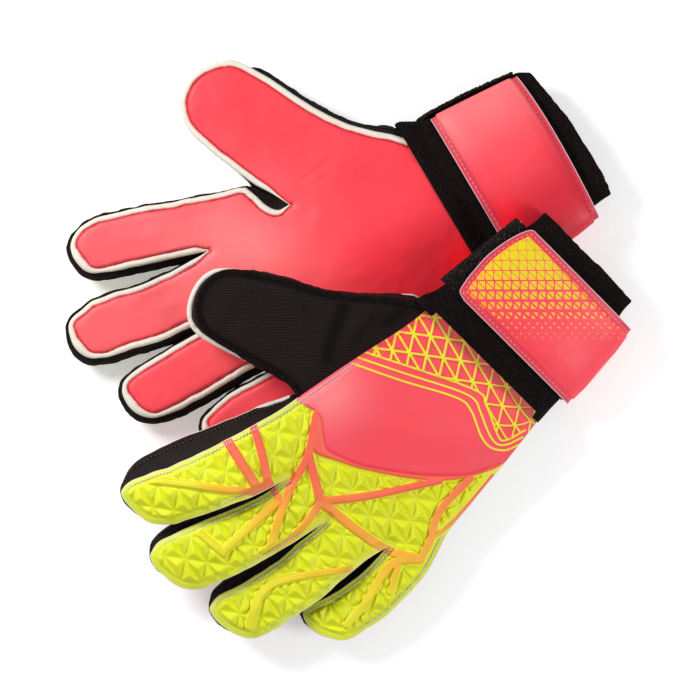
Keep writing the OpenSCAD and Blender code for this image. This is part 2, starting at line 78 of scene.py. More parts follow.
# Outlines of each panel: the forks between the digits, the wrist seam's ends, the two long edges of the hand,
# on a palm the slit where the thumb starts, and for each digit its little-finger side, its tip and its
# thumb side.
LEFT_BACK = {
    "forks": [(-86, -50.3), (-99, -30), (-111.4, 1.3), (-109.3, 29.9), (-78, 54)],
    "wrist": [(0, -39.2), (0, 38.5)],
    "ulnar": [(-5.6, -39.6), (-28.7, -42.2), (-40.3, -43.1), (-56.3, -44.6), (-73.2, -46.2)],
    "radial": [(-18.4, 41.5), (-47.3, 48.1)],
    "digits": [
        ([(-97.7, -53.2), (-116, -54), (-128.4, -53.1), (-138.5, -51)],
         [(-145, -49.2), (-150, -45.8), (-153.6, -40.5), (-155.6, -35), (-156, -30), (-155, -25.5),
          (-152.8, -22.9)],
         [(-106.7, -30.3), (-118, -30.6), (-125, -29.6), (-135.5, -27.6), (-142, -25.8), (-148.2, -23.3)]),
        ([(-103.4, -28.7), (-109.9, -27.2), (-117.2, -26), (-124.9, -25.3), (-132.2, -24.6),
          (-141.5, -23.8), (-147.6, -22.9), (-153.3, -21.7), (-159.4, -20.6), (-165.8, -19.2),
          (-172.3, -17.3)],
         [(-177.6, -15), (-181.4, -11.8), (-183.9, -7.6), (-185.3, -2.5), (-185.8, 3), (-185.4, 8.2),
          (-183.6, 11.8)],
         [(-119.8, 1.9), (-128.3, 2.9), (-139.3, 3.8), (-149.4, 5.2), (-158.7, 7.4), (-168.8, 10.2),
          (-176.5, 12.6)]),
        ([(-132.9, 6.1), (-149.6, 10.7), (-158.5, 13.6), (-166.8, 16.6), (-174.4, 19.7)],
         [(-179.6, 22.2), (-183.6, 26), (-186.6, 31), (-188, 37), (-188.2, 43.2), (-187.4, 48.4),
          (-185, 52)],
         [(-127, 33.2), (-143.1, 39.6), (-155.7, 44.9), (-166.5, 49), (-177.3, 52.6)]),
        ([(-125.2, 34.9), (-138.1, 40.6), (-148.5, 45.6), (-160.4, 51.3)],
         [(-167, 55.2), (-171.2, 59.6), (-174, 65), (-175.3, 71), (-175.3, 76.5), (-174.5, 81),
          (-172.4, 84.2)],
         [(-89, 56), (-100.2, 59.2), (-117.7, 64.4), (-141.3, 72.8), (-156.5, 80), (-165.5, 84.3)]),
        ([(-76.4, 62), (-78, 71.4), (-81.6, 83.5), (-85.6, 99)],
         [(-87.2, 109), (-86, 116), (-81.5, 122), (-75, 125.8), (-68, 127), (-62, 126.2)],
         [(-4.5, 47.5), (-14.1, 60.4), (-30.2, 80.4), (-39.8, 98.6), (-49.9, 114.8), (-56.5, 123)])],
}
LEFT_PALM = {
    "forks": [(-88, -46.5), (-99, -27), (-111.4, 3.6), (-109.3, 32), (-80, 58)],
    "wrist": [(0, -37), (0, 38.5)],
    "ulnar": [(-28.7, -39.5), (-56.3, -41.8), (-73.2, -43.2)],
    "radial": [(-34, 42), (-66, 46), (-73, 47.5), (-77.5, 52)],
    "slit": (-66, 46),
    "digits": [
        ([(-98, -48.6), (-117, -49.6), (-130, -48.8), (-138, -47)],
         [(-144.5, -45.2), (-149.5, -42.3), (-153.4, -37.5), (-155.4, -31.5), (-155.4, -25.6),
          (-153, -20.8)],
         [(-107, -27.4), (-118, -27), (-128, -25.6), (-135.5, -23.8), (-143, -21.2), (-149, -19.4)]),
        ([(-109.9, -24), (-125, -22), (-135, -20.4), (-147, -18.4), (-160, -15.8), (-170, -13.4)],
         [(-176, -11.2), (-180.6, -8), (-183.8, -3.6), (-185.4, 1.4), (-185.6, 6.4), (-184.2, 11)],
         [(-119.8, 4), (-128, 5.6), (-139, 7.8), (-149.6, 10.8), (-159, 13.9), (-166.8, 16.4), (-175.5, 17),
          (-181.2, 14.8)]),
        ([(-120, 6.6), (-133, 9.8), (-150, 15), (-160, 18.4), (-168, 21.4)],
         [(-177, 25), (-182, 28.6), (-185.6, 33.6), (-187.4, 39.6), (-187.6, 45.4), (-186.2, 50.4)],
         [(-127, 36.4), (-143, 43.6), (-155, 49.4), (-161, 52.4), (-168.3, 55.4), (-176.6, 56.4),
          (-182, 54.8)]),
        ([(-125, 38.8), (-138, 45), (-148, 49.6), (-158, 54)],
         [(-166, 58), (-170.8, 62.2), (-173.8, 67.4), (-175.2, 73.4), (-174.8, 79.6), (-172.4, 84.4)],
         [(-86, 60.8), (-94.9, 65.2), (-115, 73.4), (-135.2, 82.2), (-146.4, 86.6), (-157.9, 89.8),
          (-166, 88.6)]),
        ([(-75, 61), (-77.2, 71.4), (-82.7, 83.5), (-87.6, 99.1)],
         [(-90.4, 109), (-90.2, 117), (-85.6, 124), (-77.6, 128.8), (-68.6, 130.2), (-61.4, 128.4)],
         [(-0.6, 47.8), (-4.8, 53.2), (-13.3, 61.3), (-30.2, 80.5), (-39.8, 99), (-50.4, 116),
          (-56.5, 124)])],
}
RIGHT_PALM = {
    "forks": [(-90, -48.5), (-101, -24.6), (-113, 5), (-114.6, 42.4), (-82.6, 60)],
    "wrist": [(0, -36.5), (0, 38.8)],
    "ulnar": [(-20, -38.5), (-40, -40.5), (-56, -42.5), (-73, -44.5)],
    "radial": [(-34, 41), (-68, 41.6), (-74.5, 42.3), (-78.3, 47.2), (-80.4, 54)],
    "slit": (-68, 41.6),
    "digits": [
        ([(-112, -50.6), (-130, -50), (-145, -48)],
         [(-153, -46.2), (-158.4, -43), (-162, -38.6), (-162.8, -33.6), (-160, -29.4), (-155, -27.2)],
         [(-109, -25), (-118.5, -25.4), (-135.2, -24.8), (-148, -25.4)]),
        ([(-110, -21.4), (-120.1, -19.4), (-140.3, -19.2), (-163.3, -19)],
         [(-178, -16.6), (-184.4, -13), (-188.2, -7.4), (-189, -0.6), (-186.8, 5), (-181.6, 8.4)],
         [(-124, 8), (-138, 9.6), (-152.7, 9.8), (-167, 9.9)]),
        ([(-124, 10), (-141.2, 13.8), (-154.8, 15.4), (-175.1, 20.2)],
         [(-186.8, 23), (-193, 26.4), (-196.4, 31.4), (-197.2, 37.6), (-195.4, 43.4), (-190.6, 47.8)],
         [(-122, 42.3), (-133.6, 42.8), (-152.3, 44.6), (-167.2, 48.4), (-179, 50)]),
        ([(-126, 46.2), (-137, 49.9), (-147.6, 53.6), (-159, 57.2)],
         [(-166.4, 60.2), (-171.2, 63.4), (-174.2, 68), (-175, 74), (-173.4, 79.4), (-168.8, 83.6)],
         [(-86.5, 61.9), (-94, 64), (-104, 67.9), (-116.5, 72), (-132.7, 78.2), (-143.8, 82), (-155, 85.2),
          (-162.5, 85.6)]),
        ([(-72.6, 50.6), (-78.4, 60.4), (-83.7, 73.4), (-88.4, 85), (-91.8, 96)],
         [(-92.4, 105), (-89.4, 113.4), (-83.4, 119.4), (-76.4, 122.4), (-68.4, 122.8), (-59.7, 120.7),
          (-54, 116.6)],
         [(-6, 45.6), (-14.2, 53), (-23.6, 63), (-33, 77.6), (-40.2, 92), (-46.6, 105.2)])],
}
RIGHT_BACK = {
    "forks": [(-90, -51), (-101, -27), (-113, 2.6), (-114.6, 40), (-80, 57)],
    "wrist": [(0, -39.2), (0, 38.5)],
    "ulnar": [(-20, -41), (-40, -43), (-56, -45), (-73, -47)],
    "radial": [(-18.4, 41.5), (-47.3, 48.1)],
    "digits": [
        ([(-112, -53.6), (-130, -53.2), (-145, -51.2)],
         [(-153, -49.4), (-158.8, -46), (-162.6, -41), (-163.6, -35.4), (-161, -30.8), (-156, -28.6)],
         [(-109, -27.6), (-118.5, -28), (-135.2, -27.4), (-148, -27.6)]),
        ([(-110, -24.2), (-120.1, -22.8), (-140.3, -22.7), (-163.3, -22.4)],
         [(-178, -19.8), (-185.2, -15.8), (-189.6, -9.4), (-190.4, -1.8), (-188, 3.8), (-182.4, 7.2)],
         [(-124, 5.6), (-138, 7), (-152.7, 7.4), (-167, 7.8)]),
        ([(-124, 7.2), (-141.2, 10.4), (-154.8, 12), (-175.1, 16.8)],
         [(-187.6, 19.8), (-194.2, 23), (-198, 28.6), (-198.6, 35.6), (-196.6, 42), (-191.4, 46.6)],
         [(-122, 40), (-133.6, 40.6), (-152.3, 42.6), (-167.2, 46.4), (-179, 48.2)]),
        ([(-126, 42.8), (-138.2, 46.8), (-149.2, 50.6), (-160.4, 54.2)],
         [(-167.6, 57), (-172.4, 60.6), (-175.6, 66), (-176.2, 73), (-174.4, 78.4), (-169.4, 82.4)],
         [(-89, 58.6), (-104, 65), (-116.5, 69.4), (-132.7, 75.8), (-143.8, 79.8), (-155, 83.4),
          (-162.5, 84)]),
        ([(-79.8, 62), (-82, 70), (-85.4, 82), (-88.2, 94)],
         [(-89, 104), (-85.4, 111.6), (-78.6, 117), (-70, 119.4), (-62, 118), (-55.4, 114)],
         [(-4, 49.5), (-13.2, 53.8), (-22.4, 63), (-31.8, 77.4), (-39.4, 91.6), (-45, 103)])],
}
PLAN = {"left": {"palm": LEFT_PALM, "back": LEFT_BACK}, "right": {"palm": RIGHT_PALM, "back": RIGHT_BACK}}


# Curves and grids

def run(line):
    """Length along a line of points, up to each point."""
    return np.r_[0, np.cumsum(np.linalg.norm(np.diff(line, axis=0), axis=1))]


def sample(line, s, t):
    """A line whose points lie at the lengths s, taken at the lengths t."""
    return np.stack([np.interp(t, s, column) for column in line.T], 1)


def even(line, n):
    """n points at equal steps along a line of points."""
    line = np.asarray(line, float)
    s = run(line)
    return sample(line, s, np.linspace(0, s[-1], n))


def nearest(line, point):
    """The number of the point on a line that lies nearest to another point."""
    return int(np.argmin(np.linalg.norm(line - np.array(point), axis=1)))


def curve(points, each=24):
    """A smooth curve through the points."""
    p = np.asarray(points, float)
    q = np.vstack([2 * p[0] - p[1], p, 2 * p[-1] - p[-2]])
    t = np.linspace(0, 1, each, endpoint=False)[:, None]
    out = []
    for a, b, c, d in zip(q[:-3], q[1:-2], q[2:-1], q[3:]):
        bend = 2 * a - 5 * b + 4 * c - d
        twist = 3 * b - a - 3 * c + d
        out.append(0.5 * (2 * b + (c - a) * t + bend * t**2 + twist * t**3))
    return np.vstack(out + [p[-1:]])


def coons(c0, c1, d0, d1):
    """The grid of points between two lines across and two lines along."""
    u = np.linspace(0, 1, len(d0))[:, None, None]
    v = np.linspace(0, 1, len(c0))[None, :, None]
    corners = (1 - u) * (1 - v) * c0[0] + (1 - u) * v * c0[-1] + u * (1 - v) * c1[0] + u * v * c1[-1]
    return (1 - u) * c0[None] + u * c1[None] + (1 - v) * d0[:, None] + v * d1[:, None] - corners


def step(a, b, x):
    """A smooth rise from 0 at a to 1 at b."""
    t = np.clip((x - a) / (b - a), 0, 1)
    return t * t * (3 - 2 * t)


def mix(a, b, t):
    return a + (b - a) * t


def hill(*offsets):
    """A smooth bump that is 1 where every offset is 0."""
    return np.exp(-sum(k**2 for k in offsets))


SEED, CELLS = 7, 64
HEIGHTS = np.random.RandomState(SEED).rand(CELLS, CELLS)
WAVES_X, WAVES_Y = 31.7, 11.3


def waves(x, y, size):
    """Smooth random heights from -1 to 1, with bumps of about the given size."""
    x, y = x / size + WAVES_X, y / size + WAVES_Y
    i, j = np.floor(x).astype(int), np.floor(y).astype(int)
    fx, fy = step(0, 1, x - i), step(0, 1, y - j)
    left, right = i % CELLS, (i + 1) % CELLS
    low, high = (mix(HEIGHTS[left, k % CELLS], HEIGHTS[right, k % CELLS], fx) for k in (j, j + 1))
    return 2 * mix(low, high, fy) - 1


def quads(n, m, start=0):
    """The faces of a grid of n by m points."""
    a = (np.arange(n - 1)[:, None] * m + np.arange(m - 1)[None]).ravel() + start
    return np.stack([a, a + m, a + m + 1, a + 1], 1)


def unit(a):
    return a / np.maximum(np.linalg.norm(a, axis=1), 1e-12)[:, None]


def heading(line):
    return unit(np.gradient(line, axis=0))


def inward(line, dist):
    """A line in plan moved by dist to its right-hand side."""
    t = heading(line)
    return line + np.reshape(dist, (-1, 1)) * np.stack([t[:, 1], -t[:, 0]], 1)


# Panels and their edges

class Edge:
    """A line along a panel's edge, with what its thickness and its level follow from."""

    def __init__(self, xy, digit, u, axis=None, base=ROOT_T, sign=1.0):
        n = len(xy)
        self.xy, self.u, self.sign = xy, u, sign
        self.digit, self.base = np.full(n, digit), np.broadcast_to(base, (n,))
        self.axis = xy if axis is None else axis
        self.far_side = np.arange(n) > np.argmax(u)

    def inset(self, dist):
        """The line moved by dist into the panel."""
        return inward(self.xy, self.sign * np.asarray(dist))

    def even(self, gap):
        """The edge taken at equal steps of about gap."""
        s = run(self.xy)
        t = np.linspace(0, s[-1], max(4, int(round(s[-1] / gap)) + 1))
        u, base = (np.interp(t, s, a) for a in (self.u, self.base))
        xy, axis = (sample(line, s, t) for line in (self.xy, self.axis))
        return Edge(xy, self.digit[0], u, axis, base, self.sign)

    def only(self, keep):
        """The stretch of the edge that is kept."""
        return Edge(self.xy[keep], self.digit[0], self.u[keep], self.axis[keep], self.base[keep], self.sign)


def digit_edge(d, lo, tip, hi, base):
    """The edge round a digit: out along its little-finger side, round its tip and back."""
    axis, u = (lo + hi) / 2, np.linspace(0, 1, len(lo))
    ends = len(tip) - 2
    return Edge(np.vstack([lo, tip[1:-1], hi[::-1]]), d, np.r_[u, np.ones(ends), u[::-1]],
                np.vstack([axis, np.repeat(axis[-1:], ends, axis=0), axis[::-1]]), base)


def split_outline(plan, d):
    """A digit's outline as its little-finger side, its tip and its thumb side."""
    lo, tip, hi = plan["digits"][d]
    ends = plan["forks"] + plan["wrist"][1:]
    first = plan.get("slit", ends[d]) if d == THUMB else ends[d]
    line = curve([first] + lo + tip + hi[::-1] + [ends[d + 1]])
    t = np.linspace(0, 1, len(line))
    sway = 0.15 if d == THUMB else 0.4
    line = inward(line, sway * waves(*line.T, 6) * step(0, 0.15, t) * step(1, 0.85, t))
    i, j = nearest(line, tip[0]), nearest(line, tip[-1])
    return line[:i + 1], line[i:j + 1], line[j:][::-1]


class Panel:
    """A panel's grid in plan, with its digits, and the edges that walls and rims follow."""

    EDGE_STEP = 0.25
    WELDS_PER_MM, KEY_STRIDE = 2000, 10**7

    def __init__(self, plan, hand_rows, digit_rows, columns, hand=True, thumb=True):
        self.patches, self.size = [], 0
        self.edges, self.segs, self.axes = {}, {}, {}
        wrist, forks = np.array(plan["wrist"], float), np.array(plan["forks"], float)
        along, end = np.linspace(0, 1, hand_rows), hand_rows
        lines = []
        for k in range(THUMB + 1):
            via = plan["ulnar"] if k == 0 else plan["radial"] if k == THUMB else []
            lines.append(even(curve([mix(*wrist, k / THUMB), *via, forks[k]]), hand_rows))
        if hand:
            roots = [even(forks[k:k + 2], columns) for k in range(THUMB)]
            for k in range(THUMB):
                seam = even(np.stack([lines[k][0], lines[k + 1][0]]), columns)
                grid = coons(seam, roots[k], lines[k], lines[k + 1])
                self.add(grid, -1, np.repeat(along, columns), grid.reshape(-1, 2), ROOT_T)
            cut = 0
            if "slit" in plan:
                cut = nearest(lines[THUMB], plan["slit"])
                end = cut + 1
            self.edges["ulnar"] = Edge(lines[0], -1, along)
            self.edges["radial"] = Edge(lines[THUMB][cut:], -1, along[cut:], sign=-1.0)
            for k in range(THUMB):
                self.digit_patch(plan, k, roots[k], digit_rows, np.full(columns, ROOT_T))
        if thumb:
            self.digit_patch(plan, THUMB, lines[THUMB][:end][::-1], digit_rows, hand_thick(along[:end][::-1]))
        self.weld()

    def digit_patch(self, plan, d, root, digit_rows, base):
        """Adds a digit from its root line, with the thickness base along it."""
        m = len(root)
        lo, tip, hi = (even(line, n) for line, n in zip(split_outline(plan, d), (digit_rows, m, digit_rows)))
        lo[0], hi[0] = root[0], root[-1]
        tip[0], tip[-1] = lo[-1], hi[-1]
        self.segs[d], self.axes[d] = (lo, tip, hi), (lo + hi) / 2
        u, axis = np.repeat(np.linspace(0, 1, digit_rows), m), np.repeat(self.axes[d], m, axis=0)
        self.add(coons(root, tip, lo, hi), d, u, axis, np.tile(base, digit_rows))
        ends = np.r_[np.full(digit_rows, base[0]), base[1:-1], np.full(digit_rows, base[-1])]
        self.edges[DIGITS[d]] = digit_edge(d, lo, tip, hi, ends)

    def add(self, grid, d, u, axis, base):
        """Adds a patch that belongs to digit d, or to the hand for -1."""
        n, m = grid.shape[:2]
        self.patches.append((grid.reshape(-1, 2), quads(n, m, self.size), np.full((n - 1) * (m - 1), d),
                             np.full(n * m, d), u, axis, np.broadcast_to(base, (n * m,))))
        self.size += n * m

    def weld(self):
        """Joins the patches, with one point wherever two of them meet."""
        self.raw, faces, self.group, *rest = (np.concatenate(a) for a in zip(*self.patches))
        key = np.round(self.raw * self.WELDS_PER_MM).astype(np.int64)
        key = key[:, 0] * self.KEY_STRIDE + key[:, 1]
        _, self.first, back = np.unique(key, return_index=True, return_inverse=True)
        self.faces = back.ravel()[faces]
        self.xy, self.digit, self.u, self.axis, self.base = (a[self.first] for a in (self.raw, *rest))

    def share(self, group):
        """The points and the faces of one digit, or of the hand for -1."""
        used, faces = np.unique(self.faces[self.group == group], return_inverse=True)
        return used, faces.reshape(-1, 4)

    def rise(self, s, z):
        """Gives the panel's points their heights, and their normals in the shared frame."""
        self.local = np.column_stack([self.xy, z])
        self.normals = point_normals(place(s, self.local), facing(s, self.faces))

    def cut_out(self, group, attrs):
        """The part of the risen panel that belongs to one digit, or to the hand for -1."""
        used, faces = self.share(group)
        return part(self.local[used], faces, 0, {k: a[used] for k, a in attrs.items()}, self.normals[used])

    def inset(self, names, width=None):
        """Distance of every point from the named edges, the length along the edge and its width there."""
        edges = [self.edges[name].even(self.EDGE_STEP) for name in names]
        points = np.vstack([e.xy for e in edges])
        wide = np.concatenate([width(e) for e in edges]) if width else np.zeros(len(points))
        tree = KDTree(len(points))
        for i, (x, y) in enumerate(points):
            tree.insert((x, y, 0), i)
        tree.balance()
        _, at, far_off = zip(*(tree.find((x, y, 0)) for x, y in self.xy))
        at = np.array(at)
        return np.array(far_off), at * self.EDGE_STEP, wide[at]


def tilt(s, y):
    """How far a glove is raised at y."""
    return RISE * np.clip((y - RISE_FROM) / RISE_WIDTH, 0, 1.1) if s == "left" else 0 * y


def hand_thick(u):
    return np.interp(u, [0, 0.33, 1], [HAND_T, HAND_T, ROOT_T])


def level_of(s, e):
    """Level of the palm's face and thickness of the glove at the points of a panel or an edge."""
    eased = (e.base - ROOT_T) * (1 - step(0, 0.4, e.u))
    finger = np.interp(e.u, [0, 0.5, 1], [ROOT_T, MIDDLE_T, TIP_T]) + eased
    t = np.where(e.digit < 0, hand_thick(e.u), finger)
    if s == "right":
        return HAND_T - t, t
    on_finger = (e.digit >= 0) & (e.digit < THUMB)
    # A raised finger turns level across, so its points take the height of its middle line.
    x, y = mix(e.xy, e.axis, np.where(on_finger, np.minimum(1, e.u / 0.45), 0)[:, None]).T
    return tilt(s, y) * mix(1, SLOPE_SHARE, np.clip((SLOPE_FROM - x) / SLOPE_LENGTH, 0, 1)), t


def place(s, p):
    """Glove millimetres to metres in the shared frame."""
    x, y, z = np.asarray(p, float).T
    x0, y0, a = SPOT[s]
    c, k = math.cos(math.radians(a)), math.sin(math.radians(a))
    return np.stack([x0 + c * x - k * y, y0 + k * x + c * y, z if s == "left" else HAND_T - z], 1) / 1000


# Meshes

def point_normals(v, f):
    """The normals of a mesh's points, weighed by the faces round them."""
    n = np.zeros_like(v)
    corners = [v[i] for i in f.T]
    k = np.cross(corners[2] - corners[0], corners[-1] - corners[1])
    for i in f.T:
        np.add.at(n, i, k)
    return unit(n)


def facing(s, faces):
    """Faces as they run in the shared frame, where the right glove is a mirror image."""
    return faces[:, ::-1] if s == "right" else faces


def shell(outer, inner):
    """A closed skin between two grids of points."""
    n, m = outer.shape[:2]
    z = n * m
    border = np.concatenate([np.arange(m), np.arange(2, n + 1) * m - 1,
                             (n - 1) * m + np.arange(m - 2, -1, -1), np.arange(n - 2, 0, -1) * m])
    after = np.roll(border, -1)
    rim = np.stack([border, after, after + z, border + z], 1)
    faces = np.vstack([quads(n, m), quads(n, m)[:, ::-1] + z, rim])
    return np.vstack([outer.reshape(-1, 3), inner.reshape(-1, 3)]), faces


def tubes(path, radius, across, up, first, final, sides):
    """Closed tubes, one along each row of points, drawn together to the points first and final."""
    k, n = path.shape[:2]
    a = np.linspace(0, 2 * np.pi, sides, endpoint=False)[:, None]
    ring = np.cos(a) * across[:, :, None] + np.sin(a) * up[:, :, None]
    ring = (path[:, :, None] + radius * ring).reshape(k, -1, 3)
    v = np.concatenate([ring, first[:, None], final[:, None]], 1)
    j, z = np.arange(sides), n * sides
    after = (j + 1) % sides
    i = np.arange(n - 1)[:, None] * sides
    walls = np.stack([(i + c).ravel() for c in (j, sides + j, sides + after, after)], 1)
    caps = np.vstack([np.stack([0 * j + z, j, after], 1),
                      np.stack([0 * j + z + 1, z - sides + after, z - sides + j], 1)])
    at = (np.arange(k) * (z + 2))[:, None, None]
    return v.reshape(-1, 3), [(f + at).reshape(-1, f.shape[1]) for f in (walls, caps)]


def tube(path, radius, sides, tall=1.0):
    """A round bead along a line of points, stretched by tall in height."""
    t = heading(path)
    across = unit(np.stack([-t[:, 1], t[:, 0], 0 * t[:, 0]], 1))
    r = np.broadcast_to(np.asarray(radius, float), (len(path),))[:, None]
    ends = (path[:1] - 0.5 * r[:1] * t[:1], path[-1:] + 0.5 * r[-1:] * t[-1:])
    return tubes(path[None], r[None, :, None], across[None], tall * np.cross(t, across)[None], *ends, sides)


def stitches(a, b, radius, sides=5):
    """Short threads from points a to points b."""
    t = unit(b - a)
    across = unit(np.cross(t, [0, 0, 1.0]))
    up = np.cross(across, t)
    path = np.stack([mix(a, b, 0.2), mix(a, b, 0.8)], 1)
    return tubes(path, radius, across[:, None], up[:, None], a - radius * up, b - radius * up, sides)


def running_stitches(path, length, pitch, radius):
    """Stitches of a length, one at every pitch, along a line of points."""
    parts_of_pitch = 20
    n = max(2, int(run(path)[-1] / pitch))
    fine = even(path, n * parts_of_pitch + 1)
    k = np.arange(n) * parts_of_pitch
    ends = np.minimum(k + int(parts_of_pitch * length / pitch), n * parts_of_pitch)
    return stitches(fine[k], fine[ends], radius)


def part(v, f, mat=0, attrs=None, normals=None, flip=False):
    """A share of a piece: points, faces, the number of its material, and values that the material reads."""
    faces = [np.asarray(x, int) for x in (f if isinstance(f, list) else [f])]
    return SimpleNamespace(v=np.asarray(v, float), f=[x[:, ::-1] for x in faces] if flip else faces, mat=mat,
                           attrs=attrs or {}, normals=normals)


def grid_part(grid, mat=0, attrs=None, flip=False):
    return part(grid.reshape(-1, 3), quads(*grid.shape[:2]), mat, attrs, flip=flip)


def add_object(name, data):
    obj = bpy.data.objects.new(name, data)
    bpy.context.scene.collection.objects.link(obj)
    return obj


def piece(s, name, parts, mats):
    """One mesh object out of parts in glove millimetres, named after its side."""
    base, faces, which, normals = 0, [], [], []
    for p in parts:
        own = [facing(s, x) for x in p.f]
        w = place(s, p.v)
        normals.append(unit(sum(point_normals(w, x) for x in own)) if p.normals is None else p.normals)
        faces += [x + base for x in own]
        which += [np.full(len(x), p.mat) for x in own]
        base += len(p.v)
    local = np.vstack([p.v for p in parts])
    sizes = np.concatenate([np.full(len(f), f.shape[1]) for f in faces])
    loops = np.concatenate([f.ravel() for f in faces])
    name = f"{s}_{name}"
    mesh = bpy.data.meshes.new(name)
    for mat in mats:
        mesh.materials.append(mat)
    mesh.vertices.add(base)
    mesh.loops.add(len(loops))
    mesh.polygons.add(len(sizes))
    mesh.vertices.foreach_set("co", place(s, local).astype(np.float32).ravel())
    mesh.loops.foreach_set("vertex_index", loops.astype(np.int32))
    mesh.polygons.foreach_set("use_smooth", sizes > 0)
    starts = np.r_[0, np.cumsum(sizes)[:-1]]
    numbers = {"loop_start": starts, "loop_total": sizes, "material_index": np.concatenate(which)}
    for key, value in numbers.items():
        mesh.polygons.foreach_set(key, value.astype(np.int32))
    mesh.update(calc_edges=True)
    rest = local.astype(np.float32).ravel()
    mesh.attributes.new("rest", "FLOAT_VECTOR", "POINT").data.foreach_set("vector", rest)
    for key in sorted({k for p in parts for k in p.attrs}):
        values = [np.broadcast_to(np.ravel(p.attrs.get(key, 0.0)), (len(p.v),)) for p in parts]
        values = np.concatenate(values).astype(np.float32)
        mesh.attributes.new(key, "FLOAT", "POINT").data.foreach_set("value", values)
    mesh.normals_split_custom_set_from_vertices(np.vstack(normals).tolist())
    return add_object(name, mesh)


# Materials

def shade(tone, k):
    return tuple(k * x for x in tone)


class Finish:
    """A procedural material that reads the resting place of each point, in millimetres."""

    def __init__(self, name, **sockets):
        self.mat = bpy.data.materials.new(name)
        self.mat.use_nodes = True
        self.tree = self.mat.node_tree
        self.bsdf = self.tree.nodes["Principled BSDF"]
        self.set(**sockets)
        self.rest = self.node("Attribute", {}, attribute_name="rest")["Vector"]

    def set(self, **sockets):
        """Sets or links sockets of the shader, with an underscore for each space in a name."""
        for name, value in sockets.items():
            self.put(self.bsdf.inputs[name.replace("_", " ")], value)

    def put(self, socket, value):
        """Links a socket to another one, or sets its value, which is a colour where it is a tuple."""
        if isinstance(value, bpy.types.NodeSocket):
            self.tree.links.new(value, socket)
        else:
            socket.default_value = (*value, 1) if isinstance(value, tuple) else value

    def node(self, kind, inputs, **props):
        """The outputs of a new node."""
        n = self.tree.nodes.new("ShaderNode" + kind)
        for name, value in props.items():
            setattr(n, name, value)
        for key, value in inputs.items():
            self.put(n.inputs[key], value)
        return n.outputs

    def attr(self, name):
        return self.node("Attribute", {}, attribute_name=name)["Fac"]

    def calc(self, op, a, b=0.0):
        return self.node("Math", {0: a, 1: b}, operation=op)[0]

    def span(self, x, a, b, lo=0.0, hi=1.0):
        """A smooth change from lo, where x is a, to hi, where x is b."""
        inputs = {"Value": x, "From Min": a, "From Max": b, "To Min": lo, "To Max": hi}
        return self.node("MapRange", inputs, interpolation_type="SMOOTHSTEP")["Result"]

    def field(self, name, a, b, lo=0.0, hi=1.0):
        return self.span(self.attr(name), a, b, lo, hi)

    def scaled(self, name, k):
        return self.calc("MULTIPLY", self.attr(name), k)

    def blend(self, f, a, b):
        return self.node("Mix", {0: f, 6: a, 7: b}, data_type="RGBA")[2]

    def coat(self, tone, *layers):
        """A colour with others laid over it, each as far as its mask says."""
        for mask, colour in layers:
            tone = self.blend(mask, tone, colour)
        return tone

    def shades(self, f, tone, low, high):
        """Between two shades of a colour."""
        return self.blend(f, shade(tone, low), shade(tone, high))

    def noise(self, scale, detail=2.0):
        return self.node("TexNoise", {"Vector": self.rest, "Scale": scale, "Detail": detail})["Fac"]

    def mottle(self, scale, detail, lo=0.0, hi=1.0):
        return self.span(self.noise(scale, detail), 0.3, 0.7, lo, hi)

    def cells(self, scale):
        return self.node("TexVoronoi", {"Vector": self.rest, "Scale": scale})["Distance"]

    def turned(self, angle):
        inputs = {"Vector": self.rest, "Rotation": [0, 0, math.radians(angle)]}
        return self.node("Mapping", inputs)["Vector"]

    def ribs(self, period, where, axis=0, wander=0.0):
        """Waves across one axis, from -1 to 1."""
        along = self.calc("ADD", self.node("SeparateXYZ", {0: where})[axis], wander)
        return self.calc("SINE", self.calc("MULTIPLY", along, 2 * math.pi / period))

    def bump(self, height, strength, distance):
        """A bump, distance millimetres deep, on top of those before it."""
        inputs = {"Strength": strength, "Distance": distance / 1000, "Height": height}
        for link in self.bsdf.inputs["Normal"].links:
            inputs["Normal"] = link.from_socket
        self.set(Normal=self.node("Bump", inputs)[0])


def make_latex():
    f = Finish("red_latex", Specular_IOR_Level=0.38)
    pores = f.noise(2.4, 3)
    tone = f.coat((0.90, 0.040, 0.062),
                  (f.mottle(0.035, 3), (0.95, 0.052, 0.076)),
                  # painted highlight: lighter pink at the finger roots and along the fingers
                  (f.scaled("worn", 0.7), (0.97, 0.20, 0.205)),
                  # painted shade: a darker, deeper red towards the wrist on the little-finger side
                  (f.scaled("deep", 0.8), (0.70, 0.002, 0.018)),
                  # painted reflection: a purer, brighter red near the right palm's wrist seam
                  (f.scaled("glow", 0.9), (1.0, 0.0, 0.012)),
                  (f.span(pores, 0.62, 0.75, 0, 0.25), (0.72, 0.03, 0.045)),
                  # a dark seam line at the rim's edge, with painted shade in the right palm's wrinkles
                  (f.attr("crease"), (0.64, 0.003, 0.020)))
    f.set(Base_Color=tone, Roughness=f.mottle(0.2, 4, 0.47, 0.53))
    f.bump(f.noise(0.5, 3), 0.12, 0.12)
    f.bump(pores, 0.35, 0.05)
    return f.mat


def make_foam():
    f = Finish("white_foam", Roughness=0.85)
    fine = f.noise(3.2, 4)
    f.set(Base_Color=f.coat((0.66, 0.60, 0.50),
                            (f.span(fine, 0.3, 0.7), (0.85, 0.80, 0.71)),
                            (f.span(f.noise(0.25), 0.45, 0.75, 0, 0.35), (0.78, 0.70, 0.58))))
    f.bump(fine, 0.5, 0.12)
    f.bump(f.noise(0.6), 0.5, 0.4)
    return f.mat


LIME, SALMON, AMBER, RED = (0.75, 0.79, 0.012), (0.94, 0.125, 0.078), (0.90, 0.46, 0.03), (0.95, 0.060, 0.085)


